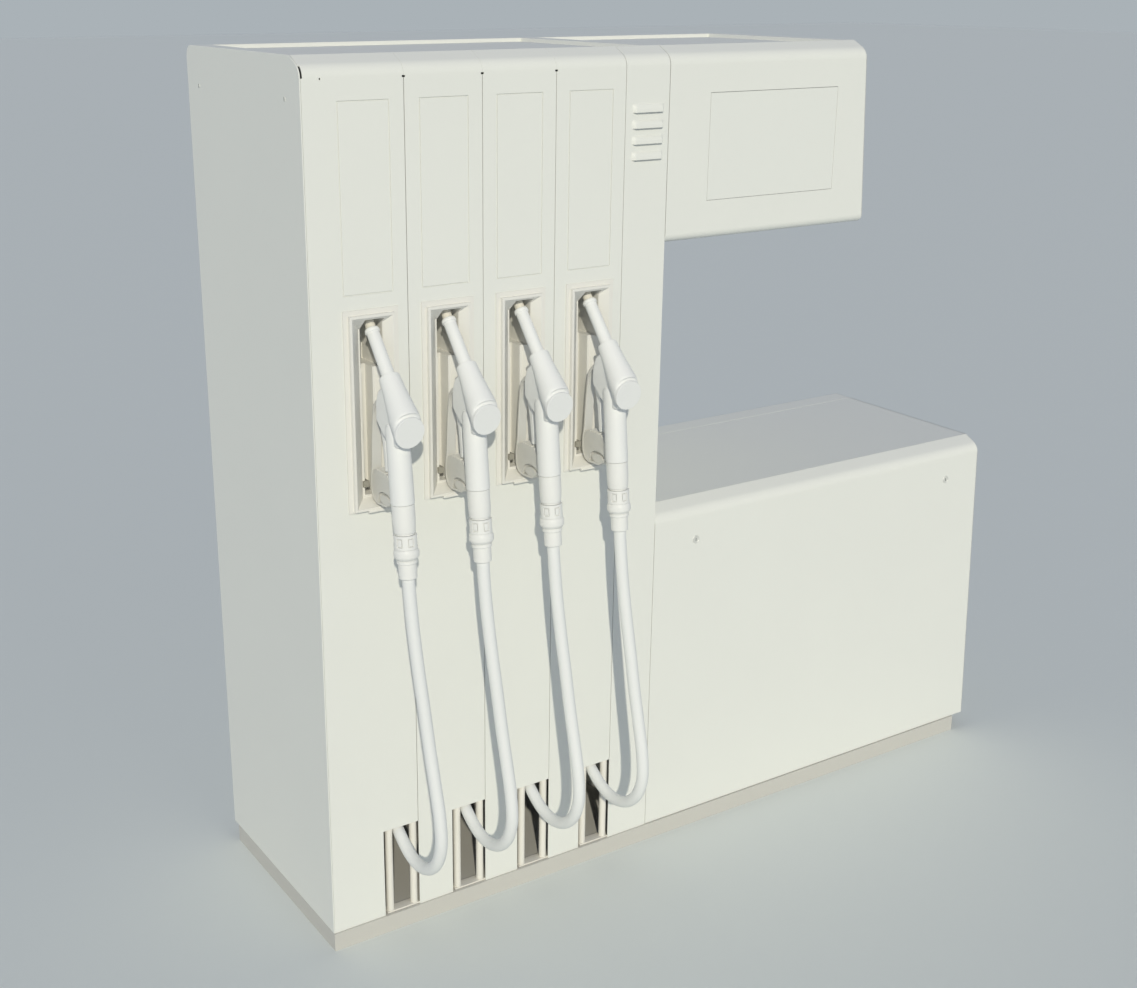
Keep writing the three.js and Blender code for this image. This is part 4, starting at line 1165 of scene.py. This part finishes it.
@dataclass
class Nozzle:
    """Hand nozzle with its lever, spout and swivel."""

    number: int
    x: float

    @property
    def body(self) -> str:
        """CAD body that the nozzle rides on."""
        return f"nozzle_{self.number}"

    @property
    def handle_direction(self) -> Point3:
        """Unit direction down the grip."""
        along = Vector((0, HANDLE_FOOT[0] - HANDLE_TOP[0], HANDLE_FOOT[1] - HANDLE_TOP[1]))
        return tuple(along.normalized())

    def build(self) -> None:
        """Makes the valve body, guard, spout and lever."""
        self.valve()
        self.guard()
        self.spout()
        self.lever()

    def valve(self) -> None:
        """Barrel, cap, lever housing and grip."""
        shape = Shape()
        x = self.x
        normal = Vector((0, -math.cos(CAP_TILT), -math.sin(CAP_TILT)))
        self.barrel(shape, normal)
        foot = (x, CAP_CENTRE[0] + 2, CAP_CENTRE[1])
        profile = [
            (-3, 35.0), (-0.8, 35.6), (-0.4, 36.8), (0.4, 37.2), (6.6, 37.2), (7.6, 36.7), (8, 35.8),
        ]
        shape.turned(foot, tuple(normal), profile, 72)
        top = (x, *HANDLE_TOP)
        length = math.hypot(HANDLE_FOOT[0] - HANDLE_TOP[0], HANDLE_FOOT[1] - HANDLE_TOP[1])
        grip = [
            (0, 24), (10, 27.5), (length * 0.5, 28), (length - 2, 28), (length - 0.4, 27.2),
            (length, 26),
        ]
        shape.turned(top, self.handle_direction, grip, 56)
        self.housing(shape)
        shape.finish(f"nozzle_{self.number}_valve", NOZZLE, self.body, [f"nozzle_body_{self.number}"])

    def barrel(self, shape: Shape, normal: Vector) -> None:
        """Tapered barrel that bends round to the tilted round cap, in one loft."""
        axis = -Vector(SPOUT_DIRECTION).normalized()
        first = Vector((1, 0, 0))
        base = Vector((self.x, *SPOUT_BASE))
        sides, steps = 64, 10
        bend_start, bend_radius = 105.0, 35.0
        profile = (
            (0, 21.5), (0.4, 23.4), (2.2, 24.5), (14, 25.2), (40, 27), (72, 31),
            (bend_start, bend_radius),
        )
        stations = [(base + axis * along, axis, radius) for along, radius in profile]
        start = base + axis * bend_start
        end = Vector((self.x, CAP_CENTRE[0] + 1, CAP_CENTRE[1]))
        for k in range(1, steps + 1):
            t = k / steps
            ease = t * t * (3 - 2 * t)
            heading = axis.lerp(normal, ease).normalized()
            stations.append((start.lerp(end, t), heading, bend_radius + ease))
        rings = []
        for middle, heading, radius in stations:
            other = heading.cross(first)
            rings.append([
                tuple(middle + (first * math.cos(a) + other * math.sin(a)) * radius)
                for a in (2 * math.pi * i / sides for i in range(sides))
            ])
        shape.loft(rings)

    def housing(self, shape: Shape) -> None:
        """Plump slab that carries the lever, split below for the lever's slot."""
        outline = [
            (-70, 1484), (-46, 1466), (-35, 1436), (-35, 1396), (-66, 1368), (-100, 1350),
            (-140, 1350), (-140, 1400), (-96, 1474),
        ]
        curve = rounded(outline, 16.0, 5)
        x = self.x

        def outside(a: Vector, b: Vector) -> bool:
            return abs(a.x - x) > 15 and abs(b.x - x) > 15

        for side in (-1, 1):
            limits = sorted((x + side * 8.5, x + side * 21.0))
            shape.prism_x(curve, (limits[0], limits[1]), 7.0, 5, keep=outside)
        web = [
            (-70, 1484), (-46, 1466), (-36, 1440), (-35.5, 1420), (-84, 1420), (-84, 1360), (-104, 1352),
            (-140, 1352), (-140, 1400), (-96, 1474),
        ]
        shape.prism_x(web, (x - 8.8, x + 8.8), 0.0)
        shape.rod((x - 10, *LEVER_PIVOT), (x + 10, *LEVER_PIVOT), 4.0, 20)

    def guard(self) -> None:
        """Strap that protects the lever, with a notched foot plate between strap and grip."""
        x = self.x
        shape = Shape()
        outer = [
            (-36, 1446), (-20, 1437), (-6, 1422), (-1, 1400), (4, 1360), (7.5, 1315), (10, 1273),
            (13.5, 1256), (16, 1242), (16, 1224), (14, 1208), (9, 1197), (2, 1189.5), (-14, 1184),
            (-60, 1188), (-90, 1211.5), (-106, 1214.5),
        ]
        inner = [
            (-38, 1437), (-24, 1430), (-12, 1418), (-6.5, 1398), (-2, 1360), (1.5, 1314), (4, 1271),
            (7.5, 1254), (10, 1240), (10, 1225), (8, 1210), (4, 1201), (-2, 1195), (-16, 1190),
            (-58, 1194), (-88, 1216.5), (-104, 1219.5),
        ]
        shape.strap(outer, inner, (x - 12, x + 12), 1.2)
        edge = [
            (-14, 1188), (2, 1194), (10, 1210), (12, 1241), (4, 1262), (-10, 1268), (-66, 1268),
            (-94, 1240), (-94, 1216),
        ]
        shape.prism_x(rounded([*edge, (-60, 1192)], 4.0, 3), (x - 4.0, x + 4.0), 0.0)
        eye = (-53.0, 1205.0)
        turns = [math.pi * (1 - k / 18) for k in range(19)]
        arch = [(eye[0] + 32 * math.cos(a), eye[1] + 17 * math.sin(a)) for a in turns]
        rim = [2 * math.pi * k / 30 for k in range(30)]
        boss = [(eye[0] + 25 * math.cos(a), eye[1] - 2 + 12 * math.sin(a)) for a in rim]
        for side in (-1, 1):
            limits = sorted((x + side * 3.5, x + side * 11.4))
            shape.prism_x([*rounded(edge, 4.0, 3), *arch], (limits[0], limits[1]), 0.7)
            shape.prism_x(boss, (limits[0], limits[1]), 0.7)
        notches = 5
        for k in range(notches):
            y = -14.0 - k * 9.0
            shape.box((x - 11.8, x + 11.8), (y - 5.0, y), (1254.0, 1271.0), 1.0)
        # Painted shade: the guard's finish is white plastic made darker than the nozzle.
        shape.finish(f"nozzle_{self.number}_guard", GUARD, self.body)

    def spout(self) -> None:
        """Cream spout tip, collar and white sleeve."""
        base = tuple(Vector((self.x, *SPOUT_BASE)) + Vector(SPOUT_DIRECTION) * GAP)
        sleeve = Shape()
        sleeve.turned(
            base, SPOUT_DIRECTION,
            [(0, 15.5), (60, 15.3), (112.5, 15), (113.4, 16.4), (114.6, 17.4), (117, 17.7),
             (120.5, 17.5), (123, 16.4), (124.2, 14.2), (124.6, 11.0)], 48)
        sleeve.finish(f"nozzle_{self.number}_sleeve", NOZZLE, self.body)
        tip = Shape()
        tip.turned(
            base, SPOUT_DIRECTION,
            [(122, 12), (144.5, 12), (145.6, 11.6), (146, 10.8), (145.8, 9.6), (140, 9.4), (126, 9.4)],
            48)
        tip.finish(f"nozzle_{self.number}_tip", SPOUT, self.body, [f"nozzle_spout_{self.number}"])

    def lever(self) -> None:
        """Squeeze lever inside the guard."""
        shape = Shape()
        x = self.x
        outline = [
            (-46, 1412), (-30, 1410), (-31, 1376), (-42, 1340), (-49, 1290), (-51, 1274), (-60, 1274),
            (-62, 1290), (-55, 1344),
        ]
        shape.prism_x(rounded(outline, 4.0, 3), (x - 7.8, x + 7.8), 2.0, 3)
        shape.finish(
            f"nozzle_{self.number}_lever", NOZZLE, f"trigger_{self.number}",
            [f"nozzle_trigger_{self.number}"])

    def swivel(self) -> bpy.types.Object:
        """Swivel coupling and windowed hose clamp under the grip.

        Returns:
            The crimped collar, which the hose ends in.
        """
        direction = Vector(self.handle_direction)
        start = Vector((self.x, *HANDLE_FOOT)) + direction * GAP
        body = f"swivel_{self.number}"
        shape = Shape()
        shape.turned(
            tuple(start), tuple(direction),
            [(0, 25), (0.9, 26.6), (2.4, 27), (40, 27), (54, 26.2), (62, 25.6), (66, 25), (67, 24.2),
             (67.6, 22.4), (70.8, 22.4), (70.8, 20)], 56)
        self.clamp(shape, start, direction)
        shape.finish(f"swivel_{self.number}_clamp", COUPLING, body, [f"nozzle_swivel_{self.number}"])
        tail = Shape()
        tail.turned(
            tuple(start + direction * 105.0), tuple(direction),
            [(0, 22), (0.2, 27), (2, 27.6), (5, 29.4), (8, 30), (17, 30), (20, 28.8), (24, 25.4),
             (26, 23.8), (26.2, 22.4), (27.6, 22.4), (27.8, 24.2), (34, 24.4), (35, 23.6),
             (36, 21.7), (68, 21.6), (71, 21), (72, 19.6)], 56)
        return tail.finish(f"swivel_{self.number}_collar", COUPLING, body)

    def clamp(self, shape: Shape, start: Vector, direction: Vector) -> None:
        """Ring with square windows between the coupling's two halves."""
        rows = ((71.4, 27.5), (77.0, 27.5), (98.0, 27.5), (104.8, 27.5))
        side = Vector((1, 0, 0))
        other = direction.cross(side)
        count = 48
        window = 8
        window_depth = 4.2
        thickness = 6.0

        def spot(i: int, row: int, depth: float) -> Vector:
            angle = 2 * math.pi * (i + 2) / count
            along, radius = rows[row]
            radius -= depth
            out = side * math.cos(angle) + other * math.sin(angle)
            return start + direction * along + out * radius

        mesh = shape.mesh
        verts: dict[tuple[int, int, float], bmesh.types.BMVert] = {}

        def vert(i: int, row: int, depth: float) -> bmesh.types.BMVert:
            key = (i % count, row, depth)
            if key not in verts:
                verts[key] = mesh.verts.new(spot(*key))
            return verts[key]

        def depth_of(i: int, row: int) -> float:
            if row == 1 and (i % count) % window < 4:
                return window_depth
            return 0.0

        faces = []
        for i in range(count):
            for row in range(3):
                depth = depth_of(i, row)
                corners = [(i, row), (i + 1, row), (i + 1, row + 1), (i, row + 1)]
                faces.append(mesh.faces.new([vert(*c, depth) for c in corners]))
                for k, (di, dr) in enumerate(((0, -1), (1, 0), (0, 1), (-1, 0))):
                    if not 0 <= row + dr < 3 or depth_of(i + di, row + dr) <= depth:
                        continue
                    a, b = corners[k], corners[(k + 1) % 4]
                    far = depth_of(i + di, row + dr)
                    faces.append(mesh.faces.new(
                        [vert(*b, depth), vert(*a, depth), vert(*a, far), vert(*b, far)]))
            rim = ((0, 0.0), (0, thickness), (3, thickness), (3, 0.0))
            for (row, depth), (next_row, next_depth) in zip(rim, rim[1:]):
                faces.append(mesh.faces.new([
                    vert(i, row, depth), vert(i, next_row, next_depth),
                    vert(i + 1, next_row, next_depth), vert(i + 1, row, depth),
                ]))
        shape.soften(faces, 0.6, 2, sharp=50.0)
        for first in range(0, count, window):
            rings = []
            for k in range(7):
                angle = 2 * math.pi * (first + 2.45 + 3.1 * k / 6) / count
                out = side * math.cos(angle) + other * math.sin(angle)
                rings.append([
                    tuple(start + direction * along + out * radius)
                    for along, radius in ((79.4, 22.0), (79.4, 26.9), (95.6, 26.9), (95.6, 22.0))
                ])
            shape.loft(rings, 0.5, 2)


# ------------------------------------------------------------------ hydraulics


@dataclass
class Hydraulics:
    """Everything hidden behind the panels: pipes, pulleys' axle, motor, pump and meter."""

    def build(self) -> None:
        """Makes the hidden pieces."""
        self.axle()
        self.manifold()
        self.motor()
        self.pump()
        self.meter()
        self.drive()

    def axle(self) -> None:
        """Axle and end plates of the hose pulleys."""
        shape = Shape()
        left, right = SKIN + GAP, COLUMN_RIGHT - SKIN - 2 * GAP
        shape.rod((left, SHEAVE_Y, SHEAVE_Z), (right, SHEAVE_Y, SHEAVE_Z), 12.0, 40)
        for x in (left, right - 5):
            shape.box((x, x + 5), (SHEAVE_Y - 45, SHEAVE_Y + 45), (SHEAVE_Z - 70, SHEAVE_Z + 45), 1.0)
        shape.finish("axle_bar", ZINC, replaces=["pulley_axle"])

    def manifold(self) -> None:
        """Cross pipe with one upright outlet for each hose."""
        shape = Shape()
        shape.rod((150, MANIFOLD_Y, MANIFOLD_Z), (1149.7, MANIFOLD_Y, MANIFOLD_Z), 24.0, 40, 2.0)
        for i in range(HOSES):
            x = module_centre(i) + HOSE_BOX_OFFSET
            profile = [(0, 19), (50, 19), (52, 22), (66, 22), (68, 19), (80, 19)]
            shape.turned((x, MANIFOLD_Y, MANIFOLD_Z), (0, 0, 1), profile, 36)
        shape.finish("manifold_pipe", PIPE, replaces=["outlet_manifold"])

    def motor(self) -> None:
        """Electric motor with cooling fins, foot and terminal box."""
        shape = Shape()
        front = DRIVE_Y + 40
        shape.rod((MOTOR_X, front, DRIVE_Z), (MOTOR_X, front + 270, DRIVE_Z), 84.0, 56, 5.0)
        for k in range(20):
            angle = 2 * math.pi * (k + 0.5) / 20
            c, s = math.cos(angle), math.sin(angle)
            spot = [
                (MOTOR_X + c * r - s * w, DRIVE_Z + s * r + c * w)
                for r, w in ((80, -2), (90, -2), (90, 2), (80, 2))
            ]
            shape.prism_y(spot, (front + 30, front + 240), 0.5)
        shape.rod((MOTOR_X, DRIVE_Y - 16, DRIVE_Z), (MOTOR_X, front + 10, DRIVE_Z), 12.0)
        shape.box(
            (MOTOR_X - 80, MOTOR_X + 80), (front + 30, front + 230),
            (PLINTH_HEIGHT + GAP, DRIVE_Z - 70), 2.0)
        shape.box(
            (MOTOR_X - 45, MOTOR_X + 45), (front + 80, front + 180),
            (DRIVE_Z + 78, DRIVE_Z + 135), 4.0)
        shape.finish("motor_case", MOTOR, replaces=["motor"])

    def pump(self) -> None:
        """Pump with separator, feet, suction pipe and delivery pipe."""
        shape = Shape()
        front = DRIVE_Y + 40
        x = PUMP_X
        shape.box((x - 120, x + 120), (front, 480.0), (160.0, 420.0), 12.0, 3)
        shape.rod((x - 40, 400, 400), (x - 40, 400, 620), 70.0, 48, 8.0)
        shape.rod((x, DRIVE_Y - 16, DRIVE_Z), (x, front + 10, DRIVE_Z), 12.0)
        shape.rod((x, 330, 6), (x, 330, 200), 40.0, 48, 1.0)
        for side in (x - 110, x + 80):
            shape.box((side, side + 30), (220.0, 460.0), (PLINTH_HEIGHT + GAP, 170.0), 2.0)
        shape.rod((1330.3, 400, 560), (x - 60, 400, 560), 24.0, 40, 1.0)
        for k in range(8):
            angle = 2 * math.pi * k / 8
            bolt = (x + 46 * math.cos(angle) * 2, front - 5, 290 + 46 * math.sin(angle) * 2)
            shape.turned(bolt, (0, 1, 0), [(0, 6), (7, 6)], 6)
        shape.finish("pump_case", PIPE, replaces=["pump_unit"])

    def meter(self) -> None:
        """Flow meter with its round register on top."""
        shape = Shape()
        shape.box((1150.0, 1330.0), (310.0, 500.0), (330.0, 610.0), 8.0, 3)
        shape.rod((1240, 405, 600), (1240, 405, 690), 60.0, 48, 4.0)
        for x in (1165.0, 1300.0):
            shape.box((x, x + 15), (330.0, 480.0), (PLINTH_HEIGHT + GAP, 340.0), 1.0)
        shape.finish("meter_case", METER, replaces=["meter_block"])

    def drive(self) -> None:
        """Belt pulleys and the belt."""
        half = BELT_WIDTH / 2
        wheels = (("motor", MOTOR_X, MOTOR_PULLEY_RADIUS), ("pump", PUMP_X, PUMP_PULLEY_RADIUS))
        bore = 12.6
        for name, x, radius in wheels:
            shape = Shape()
            flange = radius + BELT_THICKNESS + 3
            profile = [
                (-half - 5, bore), (-half - 5, flange), (-half - 2, flange), (-half - 1, radius),
                (half + 1, radius), (half + 2, flange), (half + 5, flange), (half + 5, bore),
            ]
            shape.turned((x, DRIVE_Y, DRIVE_Z), (0, -1, 0), profile, 64, closed=True, bevel=0.6)
            shape.finish(f"{name}_pulley_wheel", ZINC, f"{name}_pulley_wheel", [f"{name}_pulley"])
        running = 1.2
        spread = PUMP_X - MOTOR_X
        wrap = math.acos((MOTOR_PULLEY_RADIUS - PUMP_PULLEY_RADIUS) / spread)

        def loop(extra: float) -> list[Point2]:
            near = MOTOR_PULLEY_RADIUS + running + extra
            small = arc((MOTOR_X, DRIVE_Z), near, wrap, 2 * math.pi - wrap, 24)
            large = arc((PUMP_X, DRIVE_Z), PUMP_PULLEY_RADIUS + 2 * running + extra, -wrap, wrap, 32)
            return small + large

        belt = Shape()
        outer, inner = loop(BELT_THICKNESS - 1), loop(0.8)
        y = (DRIVE_Y - half, DRIVE_Y + half)
        rings = [
            [(a[0], y[0], a[1]), (a[0], y[1], a[1]), (b[0], y[1], b[1]), (b[0], y[0], b[1])]
            for a, b in zip(outer, inner)
        ]
        belt.loft(rings, closed=True)
        belt.finish("belt_band", BELT, replaces=["drive_belt"])


# ------------------------------------------------------------------ studio


@dataclass(frozen=True)
class Lamp:
    """A sun lamp; its size is its angular diameter."""

    name: str
    energy: float
    colour: tuple[float, float, float]
    size: float
    direction: tuple[float, float, float]
    distance: float = 8.0


@dataclass
class Studio:
    """Camera, floor, surroundings and lamp."""

    target: Vector = field(default_factory=lambda: Vector((0.0, 0.0, 1.0)))

    def build(self) -> None:
        """Makes the whole set."""
        self.camera()
        self.floor()
        self.world()
        self.lamp(Lamp("key", 2.3, (1.0, 0.945, 0.79), math.radians(1.2), (0.53, 1.0, -0.61)))

    def camera(self) -> None:
        """Camera a little above head height on the front left."""
        data = bpy.data.cameras.new("camera")
        made = bpy.data.objects.new("camera", data)
        bpy.context.scene.collection.objects.link(made)
        yaw, pitch, roll = (math.radians(a) for a in (32.4134, -18.4916, 0.1091))
        forward = Vector((
            math.sin(yaw) * math.cos(pitch), math.cos(yaw) * math.cos(pitch), math.sin(pitch)))
        right = Vector((math.cos(yaw), -math.sin(yaw), 0.0))
        up = right.cross(forward)
        axis_x = right * math.cos(roll) + up * math.sin(roll)
        axis_y = up * math.cos(roll) - right * math.sin(roll)
        rotation = Matrix((axis_x, axis_y, -forward)).transposed()
        made.matrix_world = Matrix.Translation((-2.53364, -3.24826, 2.35784)) @ rotation.to_4x4()
        data.sensor_width = 36.0
        data.sensor_fit = "HORIZONTAL"
        data.lens = 47.885
        data.shift_x = 0.05156
        data.shift_y = -0.01018
        data.clip_end = 200.0
        data.dof.use_dof = False
        bpy.context.scene.camera = made

    def floor(self) -> None:
        """Plain pale floor."""
        mesh = bmesh.new()
        bmesh.ops.create_grid(mesh, x_segments=1, y_segments=1, size=60.0)
        data = bpy.data.meshes.new("floor")
        mesh.to_mesh(data)
        mesh.free()
        ground = bpy.data.objects.new("floor", data)
        bpy.context.scene.collection.objects.link(ground)
        finish = Finish("floor_pale", (0.700, 0.738, 0.722), 0.9, Texture.CLEAR)
        data.materials.append(finish.material())

    def world(self) -> None:
        """Blue-grey surroundings, pale near the horizon and darker overhead."""
        world = bpy.data.worlds.new("studio")
        world.use_nodes = True
        nodes, links = world.node_tree.nodes, world.node_tree.links
        nodes.clear()
        output = nodes.new("ShaderNodeOutputWorld")
        shade = nodes.new("ShaderNodeBackground")
        shade.inputs["Strength"].default_value = 1.0
        place = nodes.new("ShaderNodeTexCoord")
        split = nodes.new("ShaderNodeSeparateXYZ")
        sky = nodes.new("ShaderNodeValToRGB")
        sky.color_ramp.interpolation = "B_SPLINE"
        stops = (
            (0.0, (0.402, 0.445, 0.474)), (0.02, (0.402, 0.445, 0.474)), (0.12, (0.64, 0.68, 0.70)),
            (0.36, (0.54, 0.59, 0.64)), (0.6, (0.12, 0.16, 0.29)), (1.0, (0.06, 0.10, 0.21)),
        )
        while len(sky.color_ramp.elements) < len(stops):
            sky.color_ramp.elements.new(0.5)
        for element, (place_on, colour) in zip(sky.color_ramp.elements, stops):
            element.position = place_on
            element.color = (*colour, 1.0)
        links.new(place.outputs["Generated"], split.inputs["Vector"])
        links.new(split.outputs["Z"], sky.inputs["Fac"])
        links.new(sky.outputs["Color"], shade.inputs["Color"])
        links.new(shade.outputs["Background"], output.inputs["Surface"])
        bpy.context.scene.world = world
        view = bpy.context.scene.view_settings
        view.view_transform = "Standard"
        view.look = "None"
        view.exposure = 0.0
        view.gamma = 1.0

    def lamp(self, lamp: Lamp) -> None:
        """Adds one light that shines along its direction."""
        data = bpy.data.lights.new(lamp.name, "SUN")
        data.energy = lamp.energy
        data.color = lamp.colour
        data.angle = lamp.size
        made = bpy.data.objects.new(lamp.name, data)
        bpy.context.scene.collection.objects.link(made)
        heading = Vector(lamp.direction).normalized()
        made.rotation_mode = "QUATERNION"
        made.rotation_quaternion = heading.to_track_quat("-Z", "Y")
        made.location = self.target - heading * lamp.distance


# ------------------------------------------------------------------ whole machine

# Bevel width in millimetres of the CAD nodes that are shown themselves.
EASED_NODES = {"plinth": 1.2, "column_wall": 1.2, "nozzle_boot": 1.5}


@dataclass
class Dispenser:
    """The whole machine."""

    nodes: dict[str, bpy.types.Object]

    def build(self) -> None:
        """Makes every piece and gives each CAD node its finish."""
        for index in range(HOSES):
            HoseModule(index).build()
        Column().build()
        Head().build()
        Cabinet().build()
        Hydraulics().build()
        self.dress_nodes()

    def dress_nodes(self) -> None:
        """Gives every CAD node a finish, shown or not."""
        starts = (
            # The plinth gets painted shade: a darker copy of the casing coat.
            ("plinth", PLINTH), ("nozzle_boot", BOOT), ("nozzle_swivel", COUPLING),
            ("nozzle_spout", SPOUT),
            ("nozzle", NOZZLE), ("hose_guide", ROLLER), ("hose_pulley", PULLEY),
            ("hose_panel", COAT), ("hose", HOSE), ("pulley_axle", ZINC), ("outlet", PIPE),
            ("display_window", PANE), ("display_module", MODULE), ("lock", LOCK),
            ("motor_pulley", ZINC), ("pump_pulley", ZINC), ("motor", MOTOR), ("pump", PIPE),
            ("meter", METER), ("drive_belt", BELT),
        )
        for name, node in self.nodes.items():
            finish = next((f for start, f in starts if name.startswith(start)), COAT)
            node.data.materials.clear()
            node.data.materials.append(finish.material())
            width = next((w for start, w in EASED_NODES.items() if name.startswith(start)), 0.0)
            if width:
                ease = node.modifiers.new("eased_edges", "BEVEL")
                ease.width = width / 1000
                ease.segments = 3
                ease.limit_method = "ANGLE"


def main() -> None:
    """Builds the dispenser and the studio."""
    logging.basicConfig(level=logging.INFO, format="%(message)s")
    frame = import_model()
    Studio().build()
    Dispenser(frame["nodes"]).build()


if __name__ == "__main__":
    main()
